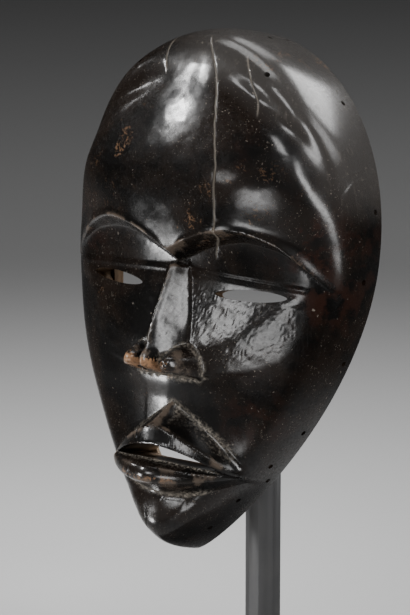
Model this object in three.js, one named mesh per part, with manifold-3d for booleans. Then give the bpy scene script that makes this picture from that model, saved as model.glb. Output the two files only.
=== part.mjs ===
// A carved wooden face mask held upright on a plain steel museum stand.
// Millimetres, +Z up, the face looks along -Y, the origin is the middle of the base's underside.
import * as THREE from "three";
import { mergeVertices } from "three/addons/utils/BufferGeometryUtils.js";
import Module from "manifold-3d";

const wasm = await Module();
wasm.setup();

// The mask's outline, seen from the front
const HALF_WIDTH = 78;
const CROWN_RISE = 104;
const CHIN_DROP = 140;
const WIDEST_LEVEL = 16;
const CROWN_ROUNDING = 2.1;
const CROWN_WAIST = 1.1;
const JAW_ROUNDING = 1.8;
const JAW_WAIST = 1.72;
const CHIN_BLUNTNESS = 4;

// Depths along the middle line and along the edge, as [height, depth] pairs
const FOREHEAD = [[-5, 50], [12, 57], [28, 62.5], [52, 67], [78, 66], [98, 61], [110, 56], [118, 52]];
const LOWER_FACE = [
  [-124, 33], [-120, 37], [-110, 43], [-99, 46], [-85, 44], [-56, 42.5], [-45, 44.5], [-35, 45.5], [10, 44],
];
const EDGE = [
  [-124, 31], [-120, 34], [-114, 36], [-106, 33.5], [-98, 30], [-88, 27.5], [-76, 25], [-60, 22.5],
  [-30, 20.5], [-10, 19.5], [5, 20], [20, 21.5], [40, 26.5], [60, 33], [80, 41], [100, 50], [120, 53],
];
const DOME_BLEND = [20, 55];
const JAW_BLEND = [-70, -45];
const EDGE_BLEND = [0, 60];

// Brows, eyes and cheeks
const BROW_ARCH = [[0, 10], [8, 14.5], [22, 20.5], [36, 23], [50, 20.5], [60, 14.5], [70, 5]];
const BROW_ROLL = 2.1;
const BROW_END = [74, 60];
const CHEEK_END = [72, 58];
const FURROW = [[0, 95], [20, 91], [32, 85.5], [42, 80], [50, 74.5], [57, 68], [62.5, 60], [67, 50], [71, 37]];
const FURROW_DEPTH = 3;
const FURROW_WIDTH = 5;
const FURROW_FOOT = [40, 58];
const FURROW_TOP = [8, 34];
const CHEEK_DEPTH = 44.8;
const CHEEK_CURVE = 0.00317;
const CHEEK_EDGE = [[0, -41], [15, -40], [35, -36], [50, -30], [58, -20], [66, 0], [70, 12]];
const LID_RIDGE = 0.7;
const EYE_INNER = 20.3;
const EYE_OUTER = 54;
const EYE_OPENING = 5.4;

// Nose
const NOSE_KEEL = [[-41, 58], [-38, 61.5], [-34, 63.5], [-28, 62.8], [6, 52.5], [14, 50]];
const NOSE_HALF_WIDTH = [[-41, 17], [-34, 16], [-25, 12.5], [-15, 10.2], [-5, 8.3], [6, 6.2], [14, 5]];
const NOSE_TIP_DEPTH = 66;
const NOSE_TIP_LEVEL = -35.5;
const NOSE_BASE = -42.5;
const WING_DEPTH = 60;
const WING_OFFSET = 11.2;
const NOSTRIL_RADIUS = 2.3;

// Mouth
const MOUTH_CENTRE = 2.5;
const MOUTH_HALF_WIDTH = 33;
const MOUTH_GAP_HALF_WIDTH = 27;
const MOUTH_SINK = 6;
const MOUTH_SILL = 0.32;
const MOUTH_TOP = -75;
const MOUTH_TOP_FALL = 9;
const UPPER_LIP_PEAK = -55.4;
const UPPER_LIP_RIDGE = -66.4;
const LOWER_LIP_TOP = -85.2;
const LOWER_LIP_BASE = -92.4;
const LOWER_LIP_CURVE = 6.6;
const UPPER_LIP_DEPTH = 53.3;
const LOWER_LIP_DEPTH = 55;
const MOUTH_CORNER_DEPTH = 33;

// Hollow back
const RIM_THICKNESS = 13;
const HOLLOW = [
  [-117, 16], [-104, 27], [-90, 34], [-60, 34], [-30, 36.5], [5, 37],
  [24, 44], [48, 54], [76, 54], [98, 46], [113, 34],
];

// Small holes drilled round the rim, as [level, depth from the rim]
const RIM_HOLES = [
  [91, 10], [43.5, 5], [11, 10], [-27, 5], [-61.4, 6], [-79, 12], [-86, 5.5], [-97, 14], [-112, 14],
];
const CROWN_HOLES = [[14.6, -20, 114], [14.6, -6, 114], [34.5, -47, 95.6]];
const RIM_HOLE_RADIUS = 1.3;

// Stand
const LEAN = THREE.MathUtils.degToRad(14);
const MASK_LEVEL = 220;
const MASK_FORWARD = -20;
const BASE_WIDTH = 130;
const BASE_LENGTH = 150;
const BASE_THICKNESS = 12;
const BASE_CORNER = 6;
const BASE_BEVEL = 1;
const POST_RADIUS = 8.5;
const POST_BEHIND = 27;
const POST_TOP = -22;
const POST_SOCKET = 4;
const FORK_RADIUS = 2.5;
const FORK_SPREAD = 36;
const FORK_BEND = 9;
const FORK_DROP = 8;
const FORK_TIP_REACH = 20;
const FORK_START = 30;
const SLEEVE_WALL = 1.6;
const SLEEVE_LENGTH = 11;
const ARM_LEVEL = -89;
const ARM_SOCKET = 9;
const PAD_RADIUS = 6;
const PAD_LENGTH = 8;
const GAP = 0.3;

// How closely the flat facets follow the carving
const FACE_STEPS = 256;
const FACE_TOLERANCE = 0.74;
const HOLLOW_STEPS = 64;
const HOLLOW_TOLERANCE = 0.8;

const { min, max, abs, sqrt, exp, sin, cos, hypot, PI } = Math;

function clamp(t) {
  return min(max(t, 0), 1);
}

function mix(a, b, t) {
  return a + (b - a) * t;
}

function ease(from, to, t) {
  const s = clamp((t - from) / (to - from));
  return s * s * (3 - 2 * s);
}

function bump(t, width) {
  return exp(-((t / width) ** 2));
}

// The smaller of two values, rounded where they cross
function lower(a, b, round) {
  const k = clamp(0.5 + 0.5 * (b - a) / round);
  return b + (a - b) * k - round * k * (1 - k);
}

// The larger of two values, rounded where they cross
function upper(a, b, round) {
  return -lower(-a, -b, round);
}

// A smooth curve through named sizes that never overshoots them
function through(knots) {
  const rise = knots.slice(1).map(([x, y], i) => (y - knots[i][1]) / (x - knots[i][0]));
  const slope = knots.map((knot, i) => {
    if (i === 0) return rise[0];
    if (i === knots.length - 1) return rise[i - 1];
    const both = rise[i - 1] * rise[i];
    return both <= 0 ? 0 : 2 * both / (rise[i - 1] + rise[i]);
  });
  return (value) => {
    const t = min(max(value, knots[0][0]), knots[knots.length - 1][0]);
    let i = knots.length - 2;
    while (i > 0 && t < knots[i][0]) i -= 1;
    const run = knots[i + 1][0] - knots[i][0];
    const s = (t - knots[i][0]) / run;
    return (1 + 2 * s) * (1 - s) ** 2 * knots[i][1] + s * (1 - s) ** 2 * run * slope[i]
      + s * s * (3 - 2 * s) * knots[i + 1][1] + s * s * (s - 1) * run * slope[i + 1];
  };
}

const foreheadLine = through(FOREHEAD);
const lowerLine = through(LOWER_FACE);
const edgeLine = through(EDGE);
const browArch = through(BROW_ARCH);
const cheekEdge = through(CHEEK_EDGE);
const noseKeel = through(NOSE_KEEL);
const noseHalfWidth = through(NOSE_HALF_WIDTH);
const hollowLine = through(HOLLOW);
const furrowLine = through(FURROW);

// The outline point in a direction, as far out as the edge of the mask less an inset
function outline(angle, inset) {
  const c = abs(cos(angle));
  const s = abs(sin(angle));
  const top = sin(angle) >= 0;
  const blunt = top ? 0 : CHIN_BLUNTNESS * sqrt(c) * s ** 10;
  const x = ((HALF_WIDTH - inset) * c ** (top ? CROWN_WAIST : JAW_WAIST) + blunt) * Math.sign(cos(angle));
  const crown = (CROWN_RISE - inset) * s ** (2 / CROWN_ROUNDING);
  const chin = -(CHIN_DROP - inset) * s ** (2 / JAW_ROUNDING);
  return [x, top ? crown : chin];
}

// Forehead dome with the furrow that sets it off from the crown band
function foreheadDepth(x, z, out) {
  const side = abs(x);
  const edge = edgeLine(z);
  const dome = edge + (foreheadLine(z) - edge) * (1 - out ** (2.3 + ease(...DOME_BLEND, z)));
  const steepness = furrowLine(side + 0.5) - furrowLine(side - 0.5);
  const away = (z - furrowLine(side)) / hypot(1, steepness);
  const strength = ease(...FURROW_FOOT, z) * ease(...FURROW_TOP, side);
  return dome - FURROW_DEPTH * bump(away, FURROW_WIDTH) * strength;
}

function lowerDepth(z, out) {
  const edge = edgeLine(z);
  return edge + (lowerLine(z) - edge) * (1 - out ** (2.6 + 0.6 * ease(...JAW_BLEND, z)));
}

// Eye socket and cheek plane, with the fine ridge of the eyelid between them
function cheekDepth(side, z) {
  const lid = 5.5 - 0.03 * side;
  const below = (0.09 - 0.0018 * side) * max(lid - z, 0);
  const above = 0.26 * max(z - lid, 0);
  return CHEEK_DEPTH - CHEEK_CURVE * side * side + below + above + LID_RIDGE * bump(z - lid, 1.3);
}

function noseDepth(x, z, face) {
  const side = abs(x);
  const across = clamp(1 - side / noseHalfWidth(z));
  const slope = mix(0.95, 1.7, ease(-14, -31, z));
  const flank = face + (noseKeel(z) - face) * across ** slope - 0.8 * ease(0.2, 0, across);
  const tip = NOSE_TIP_DEPTH - 1.5 * ((x / 1.8) ** 2 + ((z - NOSE_TIP_LEVEL) / 3.6) ** 2);
  const ball = ((side - WING_OFFSET) / 2.7) ** 2 + ((z - NOSE_TIP_LEVEL + 1) / 3.1) ** 2;
  const wing = WING_DEPTH - 1.7 * ball;
  let nose = upper(flank, upper(tip, wing, 1.2), 1.2);
  nose += 0.7 * bump(x, 1) * ease(-33, -25, z) * ease(10, 4, z);
  nose = lower(nose, face + 5 * max(z - NOSE_BASE, 0), 0.8);
  return nose - 2.5 * max(z - 7, 0);
}

// The heights at which the lips change, and how deep they stand, across the mouth
function lipLines(x) {
  const across = x - MOUTH_CENTRE;
  const side = abs(across);
  const q = min(side / MOUTH_HALF_WIDTH, 1);
  return {
    outer: UPPER_LIP_PEAK - 0.6 * side - 0.0025 * side * side + 0.06 * across,
    inner: UPPER_LIP_RIDGE - 0.28 * side - 0.0085 * side * side + 0.03 * across,
    top: MOUTH_TOP - MOUTH_TOP_FALL * q ** 1.7,
    bottom: LOWER_LIP_TOP + 0.6 * q * q - 0.03 * across,
    base: LOWER_LIP_BASE + LOWER_LIP_CURVE * q ** 2.2,
    upperDepth: mix(MOUTH_CORNER_DEPTH, UPPER_LIP_DEPTH, 1 - q ** 1.9),
    lowerDepth: mix(MOUTH_CORNER_DEPTH, LOWER_LIP_DEPTH, 1 - q ** 1.7),
  };
}

function mouthDepth(x, z, face) {
  const lip = lipLines(x);
  const side = abs(x - MOUTH_CENTRE);
  if (z > lip.inner) {
    const s = clamp((lip.outer - z) / max(lip.outer - lip.inner, 0.5));
    const plane = mix(face, lip.upperDepth, s);
    const hollowed = plane - 8 * s * (1 - s);
    const ridge = plane + 1.2 - 1.4 * max(side - 1.2 - 1.4 * s * s, 0);
    return upper(hollowed, ridge, 0.6) + 0.6 * bump(z - lip.inner - 0.4, 0.9);
  }
  if (z > lip.top) return lip.upperDepth - 0.1 * (lip.inner - z);
  if (z > lip.bottom) {
    const opening = max(lip.top - lip.bottom, 0.5);
    const s = clamp((z - lip.bottom) / opening);
    const sunk = MOUTH_SINK * min(opening / 10, 1) * min(s / MOUTH_SILL, (1 - s) / (1 - MOUTH_SILL));
    return mix(lip.lowerDepth, lip.upperDepth, s) - sunk;
  }
  const half = (lip.bottom - lip.base) / 2;
  if (z > lip.base) return lip.lowerDepth + 1.2 - 0.085 * (z - lip.base - half) ** 2;
  return max(lip.lowerDepth + 1.2 - 0.085 * half * half - 3.5 * (lip.base - z), face);
}

// How far the carved front stands forward of the rim plane
function faceDepth(x, z, out) {
  const side = abs(x);
  const low = lowerDepth(z, out);
  const ledge = cheekEdge(side);
  const onCheek = ease(ledge - 3, ledge + 0.8, z) * ease(...CHEEK_END, side);
  const face = mix(low, cheekDepth(side, z), onCheek);
  const arch = browArch(side);
  const roll = BROW_ROLL * bump(z - arch - 1, 3.1) * ease(...BROW_END, side) * ease(2, 10, side);
  let depth = lower(foreheadDepth(x, z, out) + roll, face + 2.6 * max(z - arch, 0), 1);
  if (side < 24) depth = upper(depth, noseDepth(x, z, face), 0.8);
  const lip = lipLines(x);
  if (z < lip.outer && z > lip.base - 8) {
    const across = abs(x - MOUTH_CENTRE);
    depth = mix(low, mouthDepth(x, z, low), ease(MOUTH_HALF_WIDTH + 5, MOUTH_HALF_WIDTH, across));
  }
  const crispness = 40 - 14 * ease(...EDGE_BLEND, z);
  return depth * sqrt(max(1 - out ** crispness, 0));
}

// How far the hollow reaches forward of the rim plane
function hollowDepth(z, out) {
  const fill = (1 - out ** 3.4) ** 0.62;
  return (hollowLine(z) + 3) * fill - 3;
}

// Spreads rows of points evenly over the face and down the steep edge
function evenRadius(wall) {
  const count = 2000;
  const reached = [0];
  for (let i = 1; i <= count; i += 1) {
    const a = (i - 1) / count;
    const b = i / count;
    reached.push(reached[i - 1] + hypot(b - a, wall(b) - wall(a)));
  }
  return (s) => {
    const goal = s * reached[count];
    let low = 0;
    let high = count;
    while (high - low > 1) {
      const middle = (low + high) >> 1;
      if (reached[middle] > goal) high = middle;
      else low = middle;
    }
    return (low + (goal - reached[low]) / (reached[high] - reached[low])) / count;
  };
}

// A point of the square spread over the mask's outline: x, z and how far out it lies
function spread(u, v, radius, inset) {
  const a = u * sqrt(1 - v * v / 2);
  const b = v * sqrt(1 - u * u / 2);
  const far = min(hypot(a, b), 1);
  const out = far > 1 - 1e-9 ? 1 : radius(far);
  const [x, z] = outline(Math.atan2(b, a), inset);
  return [out * x, WIDEST_LEVEL + out * z, out];
}

// A square sheet of points split into right triangles, small only where it bends, then closed behind
function adaptiveBody(steps, tolerance, backY, place) {
  const side = steps + 1;
  const points = new Float64Array(side * side * 3);
  for (let j = 0; j < side; j += 1) {
    for (let i = 0; i < side; i += 1) {
      points.set(place(2 * i / steps - 1, 2 * j / steps - 1), (j * side + i) * 3);
    }
  }
  const at = (i, j) => {
    const k = (min(max(j, 0), steps) * side + min(max(i, 0), steps)) * 3;
    return new THREE.Vector3(points[k], points[k + 1], points[k + 2]);
  };
  const facing = [];
  for (let j = 0; j < side; j += 1) {
    for (let i = 0; i < side; i += 1) {
      const along = at(i + 1, j).sub(at(i - 1, j));
      facing.push(along.cross(at(i, j + 1).sub(at(i, j - 1))).normalize());
    }
  }
  // How far a straight edge passes from the surface at its middle
  const error = new Float64Array(side * side);
  const miss = (a, b, m) => {
    const dx = (points[a * 3] + points[b * 3]) / 2 - points[m * 3];
    const dy = (points[a * 3 + 1] + points[b * 3 + 1]) / 2 - points[m * 3 + 1];
    const dz = (points[a * 3 + 2] + points[b * 3 + 2]) / 2 - points[m * 3 + 2];
    return abs(dx * facing[m].x + dy * facing[m].y + dz * facing[m].z) + 0.08 * hypot(dx, dy, dz);
  };
  // Errors are gathered from the smallest triangles up to the two halves of the square
  const measure = (ax, ay, bx, by, cx, cy) => {
    if (abs(ax - cx) + abs(ay - cy) <= 1) return 0;
    const mx = (ax + bx) / 2;
    const my = (ay + by) / 2;
    const m = my * side + mx;
    const left = measure(cx, cy, ax, ay, mx, my);
    const right = measure(bx, by, cx, cy, mx, my);
    error[m] = max(error[m], left, right, miss(ay * side + ax, by * side + bx, m));
    return error[m];
  };
  const halves = [[0, 0, steps, steps, steps, 0], [steps, steps, 0, 0, 0, steps]];
  for (let pass = 0; pass < 2 * Math.log2(steps); pass += 1) halves.forEach((half) => measure(...half));
  const index = [];
  const split = (ax, ay, bx, by, cx, cy) => {
    const mx = (ax + bx) / 2;
    const my = (ay + by) / 2;
    if (abs(ax - cx) + abs(ay - cy) > 1 && error[my * side + mx] > tolerance) {
      split(cx, cy, ax, ay, mx, my);
      split(bx, by, cx, cy, mx, my);
    } else {
      index.push(ay * side + ax, cy * side + cx, by * side + bx);
    }
  };
  halves.forEach((half) => split(...half));
  const middle = side * side;
  const open = new Map();
  for (let i = 0; i < index.length; i += 3) {
    for (let k = 0; k < 3; k += 1) {
      const a = index[i + k];
      const b = index[i + (k + 1) % 3];
      if (!open.delete(`${b},${a}`)) open.set(`${a},${b}`, [a, b]);
    }
  }
  for (const [a, b] of open.values()) index.push(b, a, middle);
  const geometry = new THREE.BufferGeometry();
  const all = [...points, 0, backY, WIDEST_LEVEL];
  geometry.setAttribute("position", new THREE.Float32BufferAttribute(all, 3));
  geometry.setIndex(index);
  return geometry;
}

// A body through outlines of equal length, one behind the other
function lofted(...rings) {
  const count = rings[0].length;
  const last = count * (rings.length - 1);
  const index = [];
  for (let start = 0; start < last; start += count) {
    for (let i = 0; i < count; i += 1) {
      const a = start + i;
      const b = start + (i + 1) % count;
      index.push(a, b, count + b, a, count + b, count + a);
    }
  }
  for (let i = 1; i < count - 1; i += 1) {
    index.push(0, i + 1, i);
    index.push(last, last + i, last + i + 1);
  }
  const geometry = new THREE.BufferGeometry();
  geometry.setAttribute("position", new THREE.Float32BufferAttribute(rings.flat(2), 3));
  geometry.setIndex(index);
  return geometry;
}

function signedVolume(geometry) {
  const p = geometry.attributes.position;
  const at = (i) => new THREE.Vector3().fromBufferAttribute(p, geometry.index.getX(i));
  let volume = 0;
  for (let i = 0; i < geometry.index.count; i += 3) volume += at(i).dot(at(i + 1).cross(at(i + 2)));
  return volume / 6;
}

function solid(source) {
  let geometry = source.clone();
  geometry.deleteAttribute("normal");
  geometry.deleteAttribute("uv");
  geometry = mergeVertices(geometry, 1e-4);
  const triangles = Uint32Array.from(geometry.index.array);
  if (signedVolume(geometry) < 0) triangles.reverse();
  const mesh = new wasm.Mesh({
    numProp: 3,
    vertProperties: Float32Array.from(geometry.attributes.position.array),
    triVerts: triangles,
  });
  return new wasm.Manifold(mesh);
}

function shape(body) {
  const mesh = body.getMesh();
  const geometry = new THREE.BufferGeometry();
  geometry.setAttribute("position", new THREE.Float32BufferAttribute(Array.from(mesh.vertProperties), 3));
  geometry.setIndex(Array.from(mesh.triVerts));
  return geometry;
}

// The eye's slit: an almond that widens behind, where it was cut from the back
function eyeCutter(hand) {
  const middle = (EYE_INNER + EYE_OUTER) / 2;
  const reach = (EYE_OUTER - EYE_INNER) / 2;
  const half = EYE_OPENING / 2;
  const count = 14;
  const ring = (back, widen, drop, lift) => Array.from({ length: count }, (_, i) => {
    const t = 2 * PI * i / count;
    const side = middle + reach * cos(t);
    const surface = CHEEK_DEPTH - CHEEK_CURVE * side * side;
    const level = -2 + 1.1 * cos(t);
    const s = sin(t) * abs(sin(t)) ** 0.15;
    return [hand * (side + reach * widen * cos(t)), back - surface, level + (s > 0 ? lift : drop) * s];
  });
  return lofted(ring(-8, 0, half, half), ring(1, 0, half, half), ring(16, 0.12, half + 6, half + 1.5));
}

// The open part of the mouth, from the sill behind the lower lip up to the upper lip
function mouthCutter() {
  const steps = 16;
  const ring = (y) => {
    const top = [];
    const bottom = [];
    for (let i = 0; i <= steps; i += 1) {
      const t = 2 * i / steps - 1;
      const x = MOUTH_CENTRE + MOUTH_GAP_HALF_WIDTH * t;
      const lip = lipLines(x);
      const sill = mix(lip.bottom, lip.top, MOUTH_SILL);
      const centre = (lip.top + sill) / 2;
      const pinch = 1 - t ** 6;
      top.push([x, y, mix(centre + 0.3, lip.top - 0.2, pinch)]);
      bottom.unshift([x, y, mix(centre - 0.3, sill, pinch)]);
    }
    return [...top, ...bottom];
  };
  return lofted(ring(-UPPER_LIP_DEPTH - 20), ring(-MOUTH_CORNER_DEPTH + 20));
}

function nostrilCutter(hand) {
  const pit = new THREE.ConeGeometry(NOSTRIL_RADIUS, 9, 10);
  pit.scale(1.15, 1, 1);
  pit.rotateX(PI / 2);
  pit.translate(hand * 8, -53.5, NOSE_BASE + 2.5);
  return pit;
}

// A small drilled hole that points along the given direction
function drill(x, y, z, aim, length) {
  const hole = new THREE.CylinderGeometry(RIM_HOLE_RADIUS, RIM_HOLE_RADIUS, length, 8);
  const turn = new THREE.Quaternion();
  turn.setFromUnitVectors(new THREE.Vector3(0, 1, 0), aim.normalize());
  hole.applyQuaternion(turn);
  hole.translate(x, y, z);
  return hole;
}

// Where the side of the mask stands at one level, and which way it faces
function sideAt(level) {
  let best = 0;
  const goal = level - WIDEST_LEVEL;
  let low = -PI / 2;
  let high = PI / 2;
  for (let i = 0; i < 40; i += 1) {
    best = (low + high) / 2;
    if (outline(best, 0)[1] > goal) high = best;
    else low = best;
  }
  const [x, z] = outline(best, 0);
  const [xa, za] = outline(best - 0.01, 0);
  const [xb, zb] = outline(best + 0.01, 0);
  return { x, z: z + WIDEST_LEVEL, facing: new THREE.Vector3(zb - za, 0, xa - xb).normalize() };
}

function drilledHoles() {
  const holes = [];
  for (const hand of [1, -1]) {
    for (const [level, depth] of RIM_HOLES) {
      const { x, z, facing } = sideAt(level);
      const aim = new THREE.Vector3(hand * facing.x, 0, facing.z);
      holes.push(drill(hand * x, -depth, z, aim, 2 * RIM_THICKNESS + 12));
    }
    for (const [x, y, z] of CROWN_HOLES) {
      holes.push(drill(hand * x, y, z, new THREE.Vector3(hand * 0.35, y / 60, 0.9), 34));
    }
  }
  return holes;
}

const faceRadius = evenRadius((r) => 0.45 * sqrt(1 - r ** 34));
const hollowRadius = evenRadius((r) => 0.55 * (1 - r ** 3.4) ** 0.62);

function carvedMask() {
  const block = adaptiveBody(FACE_STEPS, FACE_TOLERANCE, 0, (u, v) => {
    const [x, z, out] = spread(u, v, faceRadius, 0);
    return [x, out === 1 ? 0 : -faceDepth(x, z, out), z];
  });
  const hollow = adaptiveBody(HOLLOW_STEPS, HOLLOW_TOLERANCE, 3, (u, v) => {
    const [x, z, out] = spread(u, v, hollowRadius, RIM_THICKNESS);
    return [x, out === 1 ? 3 : -hollowDepth(z, out), z];
  });
  let mask = solid(block).subtract(solid(hollow));
  mask = mask.subtract(solid(mouthCutter()));
  for (const hand of [1, -1]) {
    mask = mask.subtract(solid(eyeCutter(hand)));
    mask = mask.subtract(solid(nostrilCutter(hand)));
  }
  for (const hole of drilledHoles()) mask = mask.subtract(solid(hole));
  return shape(mask);
}

// Turns a point of the mask's own frame to where it stands on the stand
function leaned(x, y, z) {
  return new THREE.Vector3(
    x,
    MASK_FORWARD + y * cos(LEAN) + z * sin(LEAN),
    MASK_LEVEL - y * sin(LEAN) + z * cos(LEAN),
  );
}

// The smallest distance from a point on the stand to the wood inside the hollow
function roomInHollow(point) {
  const dy = point.y - MASK_FORWARD;
  const dz = point.z - MASK_LEVEL;
  const y = dy * cos(LEAN) - dz * sin(LEAN);
  const z = dy * sin(LEAN) + dz * cos(LEAN);
  let room = Infinity;
  for (let i = 0; i <= 120; i += 1) {
    for (let j = 0; j <= 60; j += 1) {
      const [a, b] = outline(PI * (i / 60 - 0.5), RIM_THICKNESS);
      const out = j / 60;
      const wood = -hollowDepth(WIDEST_LEVEL + b * out, out);
      room = min(room, hypot(a * out - point.x, wood - y, WIDEST_LEVEL + b * out - z));
    }
  }
  return room;
}

// Moves a round-ended piece towards the wood until only the gap is left
function reachUntil(start, step, radius, length) {
  const point = start.clone();
  const back = new THREE.Vector3(0, length / 2, 0);
  const room = () => min(...[0, 1, 2].map((i) => roomInHollow(point.clone().addScaledVector(back, i))));
  while (room() - radius > GAP + HOLLOW_TOLERANCE) point.add(step);
  return point;
}

// A rod with straight runs and rounded corners
class BentRod extends THREE.Curve {
  constructor(corners, bend) {
    super();
    this.points = [corners[0]];
    for (let i = 1; i < corners.length - 1; i += 1) {
      const before = corners[i - 1].clone().sub(corners[i]).setLength(bend).add(corners[i]);
      const after = corners[i + 1].clone().sub(corners[i]).setLength(bend).add(corners[i]);
      const arc = new THREE.QuadraticBezierCurve3(before, corners[i], after);
      this.points.push(...arc.getPoints(5));
    }
    this.points.push(corners[corners.length - 1]);
  }

  getPoint(t, target = new THREE.Vector3()) {
    const s = clamp(t) * (this.points.length - 1);
    const i = min(Math.floor(s), this.points.length - 2);
    return target.lerpVectors(this.points[i], this.points[i + 1], s - i);
  }

  getUtoTmapping(u) {
    return u;
  }
}

function rodAlong(path, radius) {
  const section = new THREE.Shape();
  section.absarc(0, 0, radius, 0, 2 * PI, false);
  return new THREE.ExtrudeGeometry(section, {
    steps: path.points.length - 1, curveSegments: 5, bevelEnabled: false, extrudePath: path,
  });
}

function lying(geometry, at) {
  return geometry.translate(at.x, at.y, at.z);
}

// A round cap closed at its front end, with a bore for the rod behind
function boredCap(radius, length, bore, dome) {
  const profile = [new THREE.Vector2(0, -length)];
  profile.push(new THREE.Vector2(radius, -length));
  for (let i = 0; i <= 4; i += 1) {
    const t = PI * i / 8;
    profile.push(new THREE.Vector2(i === 4 ? 0 : radius * cos(t), dome * sin(t)));
  }
  const cap = new THREE.LatheGeometry(profile, 12);
  const hole = new THREE.CylinderGeometry(bore, bore, length + 1, 16);
  hole.translate(0, -(length + 1) / 2, 0);
  const body = solid(cap).subtract(solid(hole));
  return shape(body).rotateX(PI);
}

const wood = new THREE.MeshStandardMaterial({ color: 0x2b2420, roughness: 0.38, metalness: 0 });
const steel = new THREE.MeshStandardMaterial({ color: 0x4b4b4d, roughness: 0.42, metalness: 0.75 });
const basePaint = new THREE.MeshStandardMaterial({ color: 0x262628, roughness: 0.5, metalness: 0.3 });
const rubber = new THREE.MeshStandardMaterial({ color: 0x1c1c1c, roughness: 0.85, metalness: 0 });

function piece(name, geometry, material) {
  const finished = geometry.clone();
  finished.deleteAttribute("uv");
  finished.computeVertexNormals();
  const mesh = new THREE.Mesh(finished, material);
  mesh.name = name;
  return mesh;
}

const postY = MASK_FORWARD + POST_BEHIND;
const postTop = MASK_LEVEL + POST_TOP;
const postFoot = BASE_THICKNESS - POST_SOCKET + GAP;
const barLevel = postTop - FORK_DROP;
const armLevel = MASK_LEVEL + ARM_LEVEL;
const sleeveRadius = FORK_RADIUS + GAP + SLEEVE_WALL;

// Base plate with rounded corners, a fine bevel and a socket for the post
function basePlate() {
  const w = BASE_WIDTH / 2 - BASE_BEVEL;
  const l = BASE_LENGTH / 2 - BASE_BEVEL;
  const r = BASE_CORNER;
  const plan = new THREE.Shape();
  plan.absarc(w - r, l - r, r, 0, PI / 2, false);
  plan.absarc(r - w, l - r, r, PI / 2, PI, false);
  plan.absarc(r - w, r - l, r, PI, 1.5 * PI, false);
  plan.absarc(w - r, r - l, r, 1.5 * PI, 2 * PI, false);
  const plate = new THREE.ExtrudeGeometry(plan, {
    depth: BASE_THICKNESS - 2 * BASE_BEVEL, bevelEnabled: true, bevelThickness: BASE_BEVEL,
    bevelSize: BASE_BEVEL, bevelSegments: 1, curveSegments: 4,
  });
  plate.translate(0, 0, BASE_BEVEL);
  const socket = new THREE.CylinderGeometry(POST_RADIUS + GAP, POST_RADIUS + GAP, POST_SOCKET + 1, 32);
  socket.rotateX(PI / 2);
  socket.translate(0, postY, BASE_THICKNESS + (1 - POST_SOCKET) / 2);
  return shape(solid(plate).subtract(solid(socket)));
}

// Round post, cross drilled for the fork and drilled in front for the lower arm
function post() {
  const height = postTop - postFoot;
  const bevel = 0.8;
  const profile = [
    new THREE.Vector2(0, 0),
    new THREE.Vector2(POST_RADIUS, 0),
    new THREE.Vector2(POST_RADIUS, height - bevel),
    new THREE.Vector2(POST_RADIUS - bevel, height),
    new THREE.Vector2(0, height),
  ];
  const column = new THREE.LatheGeometry(profile, 32);
  column.rotateX(PI / 2);
  column.translate(0, postY, postFoot);
  const cross = new THREE.CylinderGeometry(FORK_RADIUS + GAP, FORK_RADIUS + GAP, 4 * POST_RADIUS, 16);
  cross.rotateZ(PI / 2);
  cross.translate(0, postY, barLevel);
  const socket = new THREE.CylinderGeometry(FORK_RADIUS + GAP, FORK_RADIUS + GAP, ARM_SOCKET + 2, 16);
  socket.translate(0, postY - POST_RADIUS - 1 + ARM_SOCKET / 2, armLevel);
  return shape(solid(column).subtract(solid(cross)).subtract(solid(socket)));
}

// The fork's sleeved tips come up under the crown, inside the hollow
const tipY = postY - FORK_TIP_REACH;
const tipStart = new THREE.Vector3(FORK_SPREAD, tipY, MASK_LEVEL + FORK_START);
const tip = reachUntil(tipStart, new THREE.Vector3(0, 0, 0.1), sleeveRadius, SLEEVE_LENGTH);

function fork() {
  const at = (hand, y, z) => new THREE.Vector3(hand * FORK_SPREAD, y, z);
  const corners = [
    at(-1, tipY, tip.z), at(-1, postY, tip.z), at(-1, postY, barLevel),
    at(1, postY, barLevel), at(1, postY, tip.z), at(1, tipY, tip.z),
  ];
  return rodAlong(new BentRod(corners, FORK_BEND), FORK_RADIUS);
}

function sleeve(hand) {
  const cap = boredCap(sleeveRadius, SLEEVE_LENGTH, FORK_RADIUS + GAP, SLEEVE_WALL);
  return lying(cap, new THREE.Vector3(hand * FORK_SPREAD, tipY - GAP, tip.z));
}

// The lower arm's pad leans against the wood behind the chin
const padStart = new THREE.Vector3(0, postY - 40, armLevel);
const padCentre = reachUntil(padStart, new THREE.Vector3(0, -0.1, 0), PAD_RADIUS, PAD_LENGTH);

function lowerArm() {
  const back = new THREE.Vector3(0, postY - POST_RADIUS + ARM_SOCKET - GAP, armLevel);
  const front = new THREE.Vector3(0, padCentre.y + GAP, armLevel);
  const path = new BentRod([back, front], 1);
  return rodAlong(path, FORK_RADIUS);
}

function pad() {
  return lying(boredCap(PAD_RADIUS, PAD_LENGTH, FORK_RADIUS + GAP, PAD_RADIUS), padCentre);
}

const maskGeometry = carvedMask();
maskGeometry.rotateX(-LEAN);
maskGeometry.translate(0, MASK_FORWARD, MASK_LEVEL);

const group = new THREE.Group();
group.name = "carved_mask_on_stand";
group.add(piece("mask", maskGeometry, wood));

const stand = new THREE.Group();
stand.name = "stand";
stand.add(piece("base_plate", basePlate(), basePaint));
stand.add(piece("post", post(), steel));
stand.add(piece("fork", fork(), steel));
stand.add(piece("fork_sleeve_left", sleeve(-1), rubber));
stand.add(piece("fork_sleeve_right", sleeve(1), rubber));
stand.add(piece("lower_arm", lowerArm(), steel));
stand.add(piece("lower_pad", pad(), rubber));
group.add(stand);

export default group;
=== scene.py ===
import math

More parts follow.
